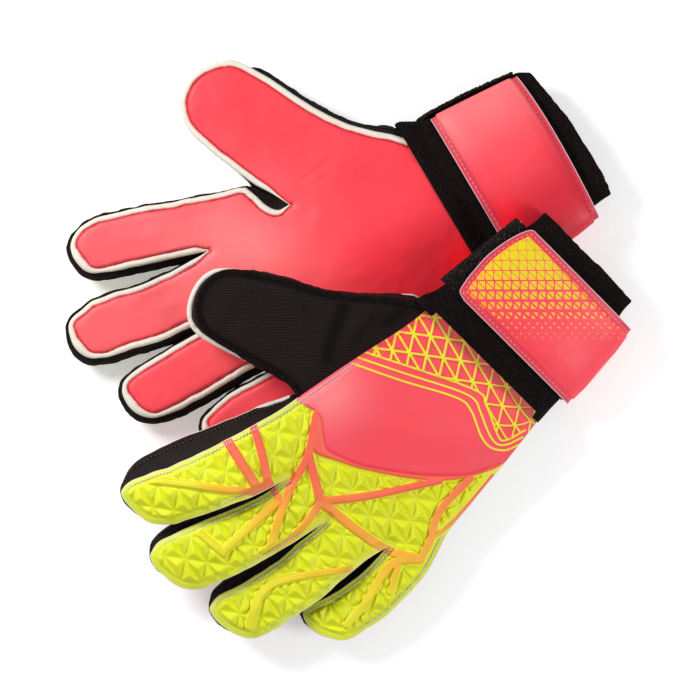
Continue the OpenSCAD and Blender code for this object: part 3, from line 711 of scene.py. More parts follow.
def make_panel():
    f = Finish("yellow_panel", Specular_IOR_Level=0.4)
    near = f.calc("MINIMUM", f.attr("rib"), f.attr("red"))
    # lip: a lighter yellow line along the edges of the ribs and the red field, partly printed edge and partly
    # painted highlight.
    lip = f.calc("MULTIPLY", f.span(near, 0.2, 0.5), f.span(near, 1.3, 0.7, 0, 0.6))
    in_groove = f.span(f.calc("ABSOLUTE", f.attr("groove")), 0.8, 0.2)
    in_groove = f.calc("MULTIPLY", in_groove, f.field("red", -0.3, -1.0, 0, 0.55))
    # The pale pink band along the stitched edge shows only inside the painted highlight near the thumb
    # corner.
    sewn = f.calc("MULTIPLY", f.field("edge", 3.8, 2.8), f.field("pale", 0.08, 0.5, 0, 0.85))
    rib = f.coat(SALMON, (f.field("fade", 0.0, 0.5), AMBER), (f.field("fade", 0.45, 1.0), (0.76, 0.73, 0.02)))
    red = f.coat(RED,
                 (f.mottle(0.05, 3), (0.92, 0.068, 0.10)),
                 # painted highlight on the red field near the thumb-side corner
                 (f.scaled("pale", 0.8), (0.97, 0.26, 0.27)),
                 (f.field("groove", -0.6, 0.5, 0, 0.95), SALMON),
                 (in_groove, (0.80, 0.030, 0.035)),
                 (sewn, (0.97, 0.38, 0.40)),
                 (f.field("edge", 1.4, 0.7, 0, 0.6), (0.80, 0.07, 0.12)))
    tone = f.coat(LIME,
                  (f.span(f.noise(0.09, 4), 0.35, 0.75), (0.67, 0.74, 0.008)),
                  (f.field("edge", 3.2, 2.2, 0, 0.45), (0.74, 0.82, 0.09)),
                  (lip, (0.95, 0.86, 0.05)),
                  (f.field("rib", 0.25, -0.25), rib),
                  (f.field("red", 0.25, -0.25), red),
                  (f.field("line", 0.18, -0.12), (0.82, 0.78, 0.015)),
                  # painted shade: darker beside the wrist band
                  (f.scaled("shade", 0.6), (0.16, 0.02, 0.012)))
    f.set(Base_Color=tone, Roughness=f.mottle(1.2, 4, 0.48, 0.56))
    f.bump(f.noise(2.0, 3), 0.3, 0.06)
    f.bump(f.noise(0.8, 3), 0.12, 0.08)
    return f.mat


def make_strap():
    f = Finish("red_strap", Specular_IOR_Level=0.3)
    dot = f.blend(f.field("fade", 0.1, 0.8), (0.78, 0.66, 0.003), (0.90, 0.44, 0.02))
    tone = f.coat((0.92, 0.055, 0.085),
                  (f.mottle(0.04, 3), (0.95, 0.07, 0.10)),
                  # painted highlight: lighter towards the strap's thumb side
                  (f.scaled("worn", 0.75), (0.97, 0.21, 0.215)),
                  # painted shade: darker further round the strap towards the little finger
                  (f.scaled("deep", 0.85), (0.58, 0.010, 0.026)),
                  # painted reflection: a purer red near the right strap's finger-side edge
                  (f.scaled("glow", 0.8), (1.0, 0.004, 0.02)),
                  (f.field("edge", 3.3, 2.7, 0, 0.8), (0.62, 0.045, 0.085)),
                  (f.field("dot", 0.10, -0.10), dot))
    f.set(Base_Color=tone, Roughness=f.mottle(0.3, 4, 0.44, 0.50))
    f.bump(f.noise(1.6, 3), 0.3, 0.06)
    f.bump(f.noise(0.25, 3), 0.12, 0.3)
    return f.mat


def make_black(name, tone, rough, look, sheen=0.0):
    """A dark cloth, given its look by one of the functions below."""
    f = Finish(name, Roughness=rough, Specular_IOR_Level=0.09)
    if sheen:
        f.set(Sheen_Weight=sheen, Sheen_Roughness=0.5)
    look(f, tone)
    return f.mat


def knit_look(f, tone):
    where = f.turned(45.5)
    rows = f.ribs(1.15, where, 1, f.calc("MULTIPLY", f.noise(0.07), 5.0))
    weave = f.calc("ADD", rows, f.calc("MULTIPLY", f.ribs(0.9, where), 0.5))
    yarn = f.shades(f.span(weave, -1.3, 1.3), tone, 0.5, 1.8)
    # Painted shade: the knit is darker where fold is set.
    f.set(Base_Color=f.blend(f.attr("fold"), yarn, shade(tone, 0.2)))
    f.bump(weave, 0.55, 0.22)
    f.bump(f.noise(0.12, 3), 0.5, 1.2)


def gusset_look(f, tone):
    fine = f.noise(2.6, 3)
    f.set(Base_Color=f.shades(f.span(fine, 0.35, 0.7), tone, 0.5, 1.7))
    f.bump(fine, 0.5, 0.12)
    f.bump(f.ribs(0.9, f.turned(45)), 0.3, 0.1)


def pile_look(f, tone):
    fine, spots = f.cells(1.5), f.noise(1.3, 4)
    dark = f.shades(f.span(spots, 0.40, 0.66), tone, 0.35, 7.5)
    f.set(Base_Color=f.blend(f.span(fine, 0.15, 0.7), dark, shade(tone, 0.4)))
    f.bump(fine, 0.8, 0.5)
    f.bump(spots, 0.7, 0.5)


def elastic_look(f, tone):
    rows, spots = f.ribs(1.3, f.rest), f.noise(1.6, 4)
    dark = f.shades(f.span(spots, 0.4, 0.7), tone, 0.3, 3.6)
    f.set(Base_Color=f.blend(f.span(rows, -1, 1, 0, 0.7), dark, shade(tone, 0.7)))
    f.bump(f.calc("ADD", rows, f.calc("MULTIPLY", f.ribs(1.1, f.rest, 1), 0.6)), 0.5, 0.2)
    f.bump(spots, 0.7, 0.35)


def hook_look(f, tone):
    dots = f.cells(1.1)
    f.set(Base_Color=f.shades(f.span(dots, 0.05, 0.45), tone, 2.4, 0.5))
    f.bump(dots, 0.9, 0.6)


def make_thread(name, tone):
    f = Finish(name, Roughness=0.6)
    twist = f.ribs(0.5, f.turned(35))
    f.set(Base_Color=f.shades(f.span(twist, -1, 1), tone, 0.7, 1.0))
    f.bump(twist, 0.4, 0.08)
    return f.mat


LATEX, FOAM, PANEL, STRAP = make_latex(), make_foam(), make_panel(), make_strap()
KNIT = make_black("black_knit", (0.0120, 0.0076, 0.0076), 0.9, knit_look, 0.01)
GUSSET = make_black("black_gusset", (0.0135, 0.0095, 0.0085), 0.6, gusset_look)
ELASTIC = make_black("black_elastic", (0.0068, 0.0042, 0.0040), 0.95, elastic_look)
LOOP = make_black("black_loop", (0.0110, 0.0072, 0.0074), 0.95, pile_look, 0.02)
HOOK = make_black("black_hook", (0.012, 0.012, 0.012), 0.5, hook_look)
LINING = make_black("grey_lining", (0.06, 0.06, 0.065), 0.9, knit_look, 0.1)
GREY_THREAD = make_thread("grey_thread", (0.66, 0.66, 0.60))
PINK_THREAD = make_thread("pink_thread", (0.94, 0.52, 0.54))
BLACK_THREAD = make_thread("black_thread", (0.11, 0.10, 0.10))
RED_THREAD = make_thread("red_thread", (0.60, 0.006, 0.026))
PALE_EDGE = make_thread("pale_edge", (0.95, 0.76, 0.74))


# The moulded pattern of the back, in the left glove's plan

# Each rib: half its width at both ends, how far its colour has faded to yellow at both ends, and its points.
RIBS = [
    (1.6, 4.4, 0.0, 0.05, [(-79.1, 38.4), (-86.4, 31.7)]),
    (2.1, 2.1, 0.0, 0.15, [(-77.2, 41.9), (-94.6, 30.8), (-109.8, 26.6)]),
    (2.1, 2.1, 0.15, 0.75, [(-109.8, 26.6), (-120.3, 22.3), (-131.2, 17.0), (-140.7, 12.3)]),
    (2.1, 2.2, 0.0, 0.15, [(-94.6, 30.4), (-106.6, 10.3)]),
    (2.2, 1.7, 0.2, 0.0, [(-106.8, 10.1), (-88.1, -5.1), (-57.9, -25.3)]),
    (2.3, 2.3, 0.22, 0.5, [(-106.9, 8.6), (-104.4, -14.4), (-101.2, -31.3), (-93.4, -45.4)]),
    (2.1, 1.9, 0.2, 0.85, [(-107.9, 9.7), (-115.4, 8.4), (-125.9, 7.4), (-134.7, 8.2), (-144.8, 13.0)]),
    (2.0, 2.0, 0.1, 0.42, [(-46.6, -35.3), (-68.6, -35.8), (-82.8, -42.8), (-92.9, -45.9)]),
    (2.3, 2.0, 0.42, 1.0, [(-92.9, -45.9), (-101.6, -38.4), (-109.7, -37.7), (-119.2, -39.6),
                           (-130.7, -42.2), (-142.2, -42.8)]),
    (1.7, 1.3, 0.5, 0.8, [(-103.6, -40.4), (-115.7, -47.2)]),
    (1.1, 1.0, 0.0, 0.4, [(-38, -42.7), (-48, -43.6), (-57, -44.2), (-67, -44.6), (-75.8, -43.8),
                          (-81.5, -42.9)]),
    (2.5, 2.4, 0.0, 0.2, [(-117.0, 67.0), (-120.4, 51.7), (-123.6, 38.5)]),
    (2.0, 2.2, 0.0, 0.15, [(-101.5, 64.0), (-108.6, 49.9), (-118.5, 34.8)]),
    (2.2, 2.2, 0.2, 0.15, [(-125.0, 37.6), (-118.3, 34.2)]),
    (1.9, 1.9, 1.4, 0.15, [(-159.5, 79.0), (-148.6, 65.6), (-137.7, 50.8), (-125.8, 36.3)]),
    (1.7, 1.7, 0.15, 0.25, [(-118.9, 31.7), (-121.1, 23.1)]),
    (2.1, 2.1, 0.42, 1.0, [(-122.1, 25.2), (-138.2, 26.2), (-158.5, 27.0)]),
    (1.9, 1.9, 0.85, 0.9, [(-160.3, 40.7), (-159.1, 26.5)]),
    (1.8, 2.2, 0.6, 1.0, [(-121.1, -24.1), (-136.2, -12.1), (-145.9, -5.6), (-153.2, -1.9), (-161.5, -1.4),
                          (-169.3, -4.4), (-177.1, -8.7)]),
]
# The border of the red field and the groove inside it share their first, straight stretch.
BORDER_START = [(-84, 66), (-79.2, 53)]
RED_LINE = [(-76.7, 42.4), (-84.2, 34.2), (-91.4, 29.4), (-86.4, 17.8), (-80.6, 6.1), (-68.3, -12.7),
            (-57.0, -26.2), (-46.5, -34.4), (-34.3, -41.0), (-26.0, -43.1), (-20, -50)]
GROOVE = [(-76.0, 43.0), (-77.2, 38.5), (-81.7, 32.7), (-86.0, 26.0), (-84.1, 18.1), (-80.0, 8.2),
          (-71.0, -5.4), (-62.2, -17.1), (-52.3, -27.7), (-44.0, -34.6), (-33.0, -40.0), (-24.0, -44.0),
          (-18, -50)]
OUTER_STRIPE = [(-47, 47.1), (-36.2, 24), (-23, -1.6), (-22.4, -11.5), (-27.8, -23.8), (-28.6, -31.6),
                (-24.4, -38), (-17, -41.2)]
INNER_STRIPE = [(-38.5, 46.3), (-14.5, -3.8), (-15.3, -15.1), (-21.8, -29.9), (-20.8, -34.5), (-10.2, -38.1)]
# Points beyond the panel that close off the wrist's side of those lines.
RED_SIDE = [(-10, -70), (30, -70), (30, 80), (-60, 80)]
LATTICE_SIDE = [(0, -70), (40, -70), (40, 80), (-30, 80)]
# The steps of the lattice and one of its crossings.
STEP_A, STEP_B, NODE = np.array([5.0, -6.87]), np.array([-8.18, -5.16]), np.array([-10.3, 28.7])
# The picture's right and its downward direction.
EAST, SOUTH = np.array([0.701, -0.713]), np.array([-0.713, -0.701])
STUD_HIGH, RIB_HIGH, RED_HIGH = 3.0, 2.4, 2.3
NOWHERE = 9.0


def share_along(p, a, b):
    """How far each point lies along the way from a to b, from 0 to 1."""
    return np.clip((p - a) @ (b - a) / ((b - a) @ (b - a)), 0, 1)


def far(p, line):
    """Distance of each point from a line of points."""
    line = np.asarray(line, float)
    best = np.full(len(p), np.inf)
    for a, b in zip(line[:-1], line[1:]):
        off = p - a - share_along(p, a, b)[:, None] * (b - a)
        best = np.minimum(best, np.linalg.norm(off, axis=1))
    return best


def inside(p, ring):
    """Which points lie within a ring of points."""
    x, y = p.T
    odd = np.zeros(len(p), bool)
    for (ax, ay), (bx, by) in zip(ring, np.roll(ring, -1, axis=0)):
        if ay != by:
            odd ^= ((ay > y) != (by > y)) & (x < ax + (y - ay) * (bx - ax) / (by - ay))
    return odd


def signed(p, line, close):
    """Distance from a line, negative on the side closed off by the further points."""
    return np.where(inside(p, np.vstack([line, close])), -1, 1) * far(p, line)


def skewed(p, a, b):
    """Each point's place in a lattice, counted in steps from NODE."""
    return np.linalg.solve(np.stack([a, b], 1), (p - NODE).T)


def rib_field(p):
    """Distance from the edge of the nearest rib, and how far that rib has faded there."""
    rib, fade = np.full(len(p), np.inf), np.zeros(len(p))
    for w0, w1, f0, f1, line in RIBS:
        t = share_along(p, np.array(line[0]), np.array(line[-1]))
        d = far(p, curve(line, 6) if len(line) > 2 else line) - mix(w0, w1, t)
        fade = np.where(d < rib, mix(f0, f1, t), fade)
        rib = np.minimum(rib, d)
    return rib, fade


def lattice_field(p):
    """Distance from the edge of the nearest line of the triangle lattice."""
    east, south = np.maximum(0, p @ EAST - 2.8), np.maximum(0, p @ SOUTH - 17.5)
    i, j = skewed(p + 4.4e-5 * (east**3 * south)[:, None] * SOUTH, STEP_A, STEP_B)
    area = abs(STEP_A[0] * STEP_B[1] - STEP_A[1] * STEP_B[0])
    families = ((i, STEP_B), (j, STEP_A), (i - j, STEP_A + STEP_B))
    gap = np.min([abs(k - np.round(k)) * area / np.linalg.norm(way) for k, way in families], axis=0)
    return gap - mix(0.38, 0.50, step(-30, 25, p[:, 1]))


def pattern(p):
    """Relief of the back panel, and the fields that its colours follow."""
    rib, fade = rib_field(p)
    red, groove, outer, inner = (curve(line, 6) for line in (RED_LINE, GROOVE, OUTER_STRIPE, INNER_STRIPE))
    red, groove = (signed(p, np.vstack([BORDER_START, line]), RED_SIDE) for line in (red, groove))
    lattice = signed(p, inner, LATTICE_SIDE)
    stripes = outer, (even(outer, 60) + even(inner, 60)) / 2, inner
    net = np.where(lattice < 0, lattice_field(p), NOWHERE)
    line = np.minimum(np.min([far(p, stripe) for stripe in stripes], axis=0) - 0.42, net)
    i, j = skewed(p, 1.25 * STEP_A, 1.2 * STEP_B)
    i, j = i - np.floor(i), j - np.floor(j)
    high, low = np.maximum(i, j), np.minimum(i, j)
    stud = np.minimum(3 * np.min([1 - high, high - low, low], axis=0), 0.95)
    on_red, on_rib = step(0.9, -0.9, red), step(0.7, -0.7, rib)
    relief = STUD_HIGH * stud * (1 - on_red) * step(-0.2, 1.5, rib) * step(0.0, 2.0, red)
    relief = np.maximum(relief, RIB_HIGH * on_rib * (1 - on_red)) + RED_HIGH * on_red
    relief -= 0.6 * hill((red - 1.0) / 0.6) * (1 - on_rib)
    relief -= 0.75 * hill(groove / 0.8) * step(-0.2, -1.2, red)
    relief += 0.75 * step(0.35, -0.25, net) + 0.3 * step(0.3, -0.2, line) * (lattice >= 0) * on_red
    # Painted highlight: the red field lighter towards the corner by the thumb and the index finger.
    pale = hill((p[:, 0] + 66) / 18, (p[:, 1] - 46) / 17)
    return relief, {"rib": rib, "red": red, "line": np.where(red < 0, line, NOWHERE), "fade": fade,
                    "pale": pale, "groove": groove}


# Pieces of the hand

FINE = 1.0
HAND_NODES = {"latex": "palm_latex", "backing": "palm_backing", "back": "back_panel", "gusset": "gussets"}


def count(n):
    """A number of grid lines, scaled by FINE."""
    return max(6, int(n * FINE))


def note(obj, s, body, nodes, to=None):
    """Hangs a piece on one of its side's bodies, or bakes its place in where to is given, and hides the
    side's solids that it stands for.
    """
    if to:
        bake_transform(obj)
    else:
        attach(obj, f"{s}_{body}")
    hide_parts(*(f"{s}_{node}" for node in nodes))


def on_hand(s, d):
    """Whether a piece has no crease: it is the hand's, or the right little finger's under the other glove."""
    return d < 0 or (s == "right" and d == 0)


def carry(obj, s, d, nodes):
    """Hangs a hand's piece on the hand, and bakes a digit's piece where it lies."""
    if on_hand(s, d):
        note(obj, s, "hand", nodes)
        return
    note(obj, s, "hand", nodes, f"{DIGITS[d]}_end")


def nodes_of(s, d, kind):
    return [HAND_NODES[kind] if on_hand(s, d) else f"{DIGITS[d]}_{kind}"]


def name_of(d, hand="hand"):
    return hand if d < 0 else DIGITS[d]


def edges_of(panel, d):
    """The edges of a digit, or of the hand for -1."""
    return [panel.edges[name] for name in (("ulnar", "radial") if d < 0 else (DIGITS[d],))]


def back_level(s, d):
    """Height of the back over the glove's thickness, at a distance d from its edge."""
    low = -3.6 + 0.6 * step(0, 2.4, d)
    return mix(low, -2.3 + 1.3 * step(4, 15, d), step(2.6, 4.6, d)) - BACK_DROP[s]


def back_edge_level(s, e):
    """Height of the back along one of its edges."""
    r, t = level_of(s, e)
    return r + t + back_level(s, np.zeros(len(r)))


def swell(xy):
    return 0.25 * waves(*xy.T, 17)


def rolled(d, reach, drop):
    """How far a face has dropped at a distance d from its rounded edge."""
    k = 1 - np.minimum(d, reach) / reach
    return drop * (1 - np.sqrt(np.maximum(0, 1 - k * k)))


# The turned-down edge of the back: how far out and how far down.
EDGE_ROLL = ((0, 0), (0.3, 0.5), (0.35, 1.3), (-0.2, 2.3))
ZIGZAG_STEP, ZIGZAG_DEEP = 0.95, 1.3
# Beside the thumb, the stitches and the wall start at these x.
SEWN_FROM, WALL_FROM, WALL_ROWS = -46, -62, 11
PLAIN_RED = {"red": -NOWHERE, "rib": NOWHERE, "line": NOWHERE, "edge": 0.0, "groove": -NOWHERE}


def zigzag(s, e, radius):
    """Stitches to and fro along an edge of the back."""
    e = e.even(ZIGZAG_STEP)
    r, t = level_of(s, e)
    deep = ZIGZAG_DEEP * (1 + np.arange(len(r)) % 2)
    v = np.column_stack([e.inset(deep), r + (t + back_level(s, deep) + 0.16)])
    return stitches(v[:-1], v[1:], radius)


def back_edge(s, e):
    """The turned-down edge of the back and its stitches: foam, or plain red beside the thumb."""
    thumb_side = e.sign < 0
    top = back_edge_level(s, e) + swell(e.xy)
    rows = [np.column_stack([e.inset(-out), top - down]) for out, down in EDGE_ROLL]
    roll = grid_part(np.stack(rows, 1), 0 if thumb_side else 1, PLAIN_RED if thumb_side else None, thumb_side)
    if thumb_side:
        return [roll, part(*zigzag(s, e.only(e.xy[:, 0] < SEWN_FROM), 0.16), 3)]
    return [roll, part(*zigzag(s, e, 0.25), 2)]


def build_back(s):
    """The moulded back of the hand and the fingers."""
    size = (count(200), count(155), count(56))
    p = Panel(PLAN[s]["back"], *size, thumb=False)
    plan = p.xy if s == "left" else Panel(LEFT_BACK, *size, thumb=False).raw[p.first]
    d, _, _ = p.inset(("ulnar", "radial", *DIGITS[:THUMB]))
    relief, attrs = pattern(plan)
    if s == "left":
        relief += 1.6 * step(3, 24, -attrs["red"])
    # shade is painted shade: the panel darker beside the wrist band.
    attrs.update(edge=d, shade=step(-7.5, -2.5, p.xy[:, 0]))
    r, t = level_of(s, p)
    p.faces = p.faces[:, ::-1]
    p.rise(s, r + t + back_level(s, d) + relief * step(2.7, 4.6, d) + swell(p.xy))
    for g in range(-1, THUMB):
        parts = [p.cut_out(g, attrs)]
        for e in edges_of(p, g):
            parts += back_edge(s, e)
        obj = piece(s, f"{name_of(g)}_top", parts, [PANEL, FOAM, GREY_THREAD, PINK_THREAD])
        carry(obj, s, g, nodes_of(s, g, "back"))
    return p


FOLDS = [[(-59.6, 48.9), (-45, 50.1), (-32.5, 53.4)], [(-55, 44.4), (-36, 44.1), (-17.8, 44.1)]]
RIM_WIDE = 3.4
PALM_REACH, PALM_DROP = 7, 3.0


def rim_width(e):
    """Width of the cream edge: wider at the fingertips, drawn to a point between the fingers."""
    d, u, far_side = e.digit[0], e.u, e.far_side
    if d < 0:
        start = np.linalg.norm(e.xy - e.xy[0], axis=1)
        return RIM_WIDE * (mix(0.25, 1, step(0, 9, start)) if e.sign < 0 else 1.0) + 0 * u
    if d == THUMB:
        return RIM_WIDE * np.where(far_side, 1.0, mix(0.12, 1, step(0.02, 0.3, u)))
    tip, near_tip = u > 0.9999, step(0.85, 1, u)
    w = np.where(far_side, 2.9 - 0.3 * near_tip, 3.5 - 0.9 * near_tip)
    w += 2.0 * tip * np.abs(np.sin(np.pi * np.cumsum(tip) / tip.sum())) ** 2.2
    pinched = (far_side & (d < INDEX)) | (~far_side & (d > 0))
    return w * np.where(pinched, mix(0.3, 1, step(0.0, 0.13, u)), 1)


def palm_face(s, p, r):
    """Gives the palm its relief, and returns the fields that its colours follow."""
    d, along, rim = p.inset(("ulnar", "radial", *DIGITS), rim_width)
    x, y = p.xy.T
    sewn = hill((d - rim - 0.15) / 0.42)
    fold = hill(np.min([far(p.xy, curve(line)) for line in FOLDS], axis=0) / 0.5) * (s == "right")
    z = rolled(d, PALM_REACH, PALM_DROP) + 2.2 * step(rim, rim - 0.9, d)
    z += sewn * (0.75 + 0.2 * np.sin(2 * np.pi * along / 2.6))
    z += (0.3 * waves(x, y, 14) + 0.12 * waves(x, y, 5)) * step(3, 9, d) + 0.35
    if s == "right":
        z -= 0.5 * step(6, 26, d) + 1.9 * hill((x + 46) / 44, (y - 8) / 34) * step(3, 18, d)
    z = np.minimum(z + 0.12 * fold, PALM_DROP + 0.2 * step(1.5, 0, d))
    p.rise(s, r + z)
    # Painted highlight: lighter at the finger roots and along the fingers.
    worn = 1.5 * hill((x + 104) / 30, (y - 31) / 35) + (0.2 + 0.35 * step(6, 18, y)) * step(-112, -135, x)
    # Painted red reflection near the right wrist (glow), painted shade towards the wrist on the little-finger
    # side (deep), and a dark seam line at the rim with painted shade in the right palm's wrinkles.
    return {"glow": hill((x + 6) / 10, (y + 25) / 10) * (s == "right"),
            "deep": step(20, -16, y) * step(-80, -35, x), "worn": np.clip(worn, 0, 1.3),
            "crease": np.clip(0.8 * sewn + step(rim, rim - 0.5, d) + 0.15 * fold, 0, 1)}


# Height of the lining over the palm's face, and of the walls' feet.
PALM_LINING, WALL_FOOT = 6.5, 4.4
# How far under the back's level its lining, the knit and the walls' tops lie.
BACK_LINING, KNIT_UNDER, WALL_TOP = 6.6, 2.4, 1.9


def palm_seam(s, e):
    """The bead along the seam between latex and rim."""
    e = e.even(0.5)
    deep = rim_width(e) + 0.1
    level = level_of(s, e)[0] + rolled(deep, PALM_REACH, PALM_DROP) + 1.05
    return part(*tube(np.column_stack([e.inset(deep), level]), 0.3, 6), 1)


def palm_rim(s, e):
    """The foam rolled round the palm's edge."""
    e = e.even(0.8)
    x, y = e.xy.T
    w = rim_width(e) / 2 * (1 + 0.08 * waves(x, y, 4) + 0.05 * waves(x, y, 1.7))
    level = level_of(s, e)[0] + 3.1 + 0.25 * waves(x, y, 8)
    return part(*tube(np.column_stack([e.inset(w - 0.1), level]), w, 12, 1.2))


def build_palm(s):
    """The latex palm with its sewn seam, and the foam rim with the palm's lining."""
    p = Panel(PLAN[s]["palm"], count(150), count(120), count(42))
    r, _ = level_of(s, p)
    attrs = palm_face(s, p, r)
    for g in range(-1, len(DIGITS)):
        name = name_of(g, "palm")
        parts = [p.cut_out(g, attrs)] + [palm_seam(s, e) for e in edges_of(p, g)]
        obj = piece(s, f"{name}_grip", parts, [LATEX, RED_THREAD])
        carry(obj, s, g, nodes_of(s, g, "latex"))
        parts = [palm_rim(s, e) for e in edges_of(p, g)]
        if g < 0:
            used, faces = p.share(g)
            parts.append(part(np.column_stack([p.xy, r + PALM_LINING])[used], faces[:, ::-1], 1))
        obj = piece(s, f"{name}_rim", parts, [FOAM, LINING])
        carry(obj, s, g, nodes_of(s, g, "backing"))
    return p


def wall_edges(g, palm, back):
    """Pairs of edges, on the palm and on the back, that the walls of a digit or of the hand join."""
    if g < 0:
        thumb_side = back.edges["radial"]
        rows = [(palm.edges["ulnar"], back.edges["ulnar"], count(150)),
                (palm.edges["radial"], thumb_side.only(thumb_side.xy[:, 0] < WALL_FROM), 24)]
        return [[Edge(even(e.xy, n), -1, np.linspace(e.u[0], e.u[-1], n), sign=e.sign) for e in pair]
                for *pair, n in rows]
    pair = []
    for panel in (palm, back):
        lo, tip, hi = (even(line, count(n)) for line, n in zip(panel.segs[g], (80, 44, 80)))
        base = panel.edges[DIGITS[g]].base
        base = np.r_[np.full(len(lo) + len(tip) - 2, base[0]), np.full(len(hi), base[-1])]
        pair.append(digit_edge(g, lo, tip, hi, base))
    return [pair]


def wall_shape(s, g, u):
    """How far a wall stands in from the palm's edge, and how far it swells out."""
    homeward = np.arange(len(u)) > len(u) // 2
    deep, bulge = 0 * u, 1.0 if s == "left" else 2.0
    if (s, g) == ("left", THUMB):
        home = step(0.8, 0.95, u) + 0.4 * step(0.17, 0.1, u)
        deep = 3.4 * np.where(homeward, home, step(0.55, 0.75, u))
    if (s, g) == ("left", INDEX):
        deep = 1.6 * np.where(homeward, step(0.2, 0.11, u), 0)
    if (s, g) == ("right", THUMB):
        shown = homeward * step(0.98, 0.88, u)
        deep, bulge = 1.6 * (1 - shown), 2.2 * shown - 0.6 * (1 - shown)
    return 0.15 + deep, bulge


def loft(s, lower, upper, deep, bulge):
    """The grid of a wall from an edge of the palm to an edge of the back."""
    a = np.column_stack([lower.inset(deep), level_of(s, lower)[0] + WALL_FOOT])
    b = np.column_stack([upper.inset(0.25), back_edge_level(s, upper) - WALL_TOP])
    mid = ((a + b) / 2)[:, :2]
    out = inward(mid, -lower.sign) - mid
    rows = []
    for f in np.linspace(0, 1, WALL_ROWS):
        q = mix(a, b, f)
        x, y, _ = q.T
        fold = 0.45 * waves(x + 40 * f, y, 5) + 0.25 * waves(x, y + 30 * f, 2.2)
        q[:, :2] += out * ((bulge + fold * np.clip(bulge, 0, 1)) * np.sin(np.pi * f))[:, None]
        rows.append(q)
    return np.stack(rows, 1)


def build_walls(s, palm, back, knit_back):
    """The black side walls between palm and back, with a sewn seam along them."""
    for g in range(-1, len(DIGITS)):
        parts = []
        for lower, upper in wall_edges(g, palm, knit_back if g == THUMB else back):
            grid = loft(s, lower, upper, *wall_shape(s, g, lower.u))
            seam = grid[:, 3]
            thread = running_stitches(seam + [0, 0, 0.42], 1.2, 2.2, 0.2)
            parts += [grid_part(grid, flip=lower.sign > 0), part(*tube(seam, 0.5, 6)), part(*thread, 1)]
        obj = piece(s, f"{name_of(g)}_wall", parts, [GUSSET, BLACK_THREAD])
        carry(obj, s, g, nodes_of(s, g, "gusset"))


# Each fold of the knit: its line and how deep it is.
KNIT_FOLDS = [([(-30, 69), (-42, 64), (-54, 57)], 1.0), ([(-15.3, 57.3), (-26, 54.5), (-37, 53.5)], 0.5),
              ([(-3, 45.5), (-12, 47), (-20, 48.6)], 0.8)]


def build_knit(s):
    """The knitted back of the thumb with its rolled seam."""
    p = Panel(PLAN[s]["back"], count(90), count(90), count(60), hand=False)
    d, _, _ = p.inset(("thumb",))
    r, t = level_of(s, p)
    x, y = p.xy.T
    z = r + t - KNIT_UNDER - rolled(d, 10, 4.0) - BACK_DROP[s] - 1.6 * step(0.12, 0.0, p.u)
    # Painted shade: fold darkens the knit along its rolled border and in the fold valleys below.
    fold = 0.85 * step(5.0, 2.6, d) * step(0.0, 0.05, p.u)
    for line, deep in KNIT_FOLDS:
        valley = hill(far(p.xy, curve(line)) / 3.2) * step(1, 6, d)
        z -= 1.9 * deep * valley
        fold = np.maximum(fold, 0.75 * deep * valley)
    z += (1.2 * waves(x, y, 16) + 0.6 * waves(x, y, 7)) * step(1, 9, d) * step(0.02, 0.2, p.u)
    e = p.edges["thumb"].even(0.9)
    r, t = level_of(s, e)
    seam = np.column_stack([e.inset(1.3), r + t - 5.5 - BACK_DROP[s]])
    parts = [part(np.column_stack([p.xy, z]), p.faces[:, ::-1], 0, {"fold": fold}),
             part(*tube(seam, 1.6 + 0.1 * waves(*e.xy.T, 3), 10), 1)]
    obj = piece(s, "thumb_knit", parts, [KNIT, ELASTIC])
    carry(obj, s, THUMB, ["thumb_back", "thumb_saddle"])
    return p


def build_lining(s):
    """The lining under the back of the hand."""
    p = Panel(PLAN[s]["back"], 60, 20, 16, thumb=False)
    r, t = level_of(s, p)
    used, faces = p.share(-1)
    local = np.column_stack([p.xy, r + t - BACK_LINING - 0.8 * BACK_DROP[s] + 0.3 * waves(*p.xy.T, 8)])
    obj = piece(s, "hand_lining", [part(local[used], faces)], [LINING])
    note(obj, s, "hand", ["back_lining"])


# The wrist

# Half the width and half the height of the oval that lengths round the wrist are measured on, of the
# cuff, of the band, and of the ring that the strap's layers grow from.
OVAL_HALF, OVAL_RISE = 42, 10
CUFF_HALF, CUFF_RISE = 37.9, 5.9
BAND_HALF, BAND_RISE = 39.9, 7.9
WRIST_HALF, WRIST_RISE = 36.5, 4.5
# Where each layer begins and ends along the glove.
CUFF_X, STRAP_X, TAB_X, HOOK_X = (-6, 73), (14.5, 62), (14.1, 62.8), (18.5, 58)
BAND_X = {"left": (-3.0, 61), "right": (-2.2, 61)}
PILE_X = {"left": (13.5, 61.5), "right": (8.6, 61.5)}
CUFF_THICK, BAND_THICK = 1.6, 1.7
# Half the cuff's width at its end.
CUFF_END = {"left": 31.3, "right": 36.6}


def bow(v, power=0.55):
    """A sine or cosine that is flattened, for an oval with blunt ends."""
    return np.sign(v) * np.abs(v) ** power


ARC = np.linspace(-0.5 * np.pi, 2 * np.pi, 9001)
ARC_RUN = run(np.stack([OVAL_HALF * bow(np.cos(ARC)), OVAL_RISE * bow(np.sin(ARC))], 1))


def arc_at(a):
    """Length round the wrist at an angle."""
    return np.interp(a, ARC, ARC_RUN)


def angle_at(length):
    return np.interp(length, ARC_RUN, ARC)


def narrowing(x):
    return np.clip((x - 15) / 48, 0, 1)


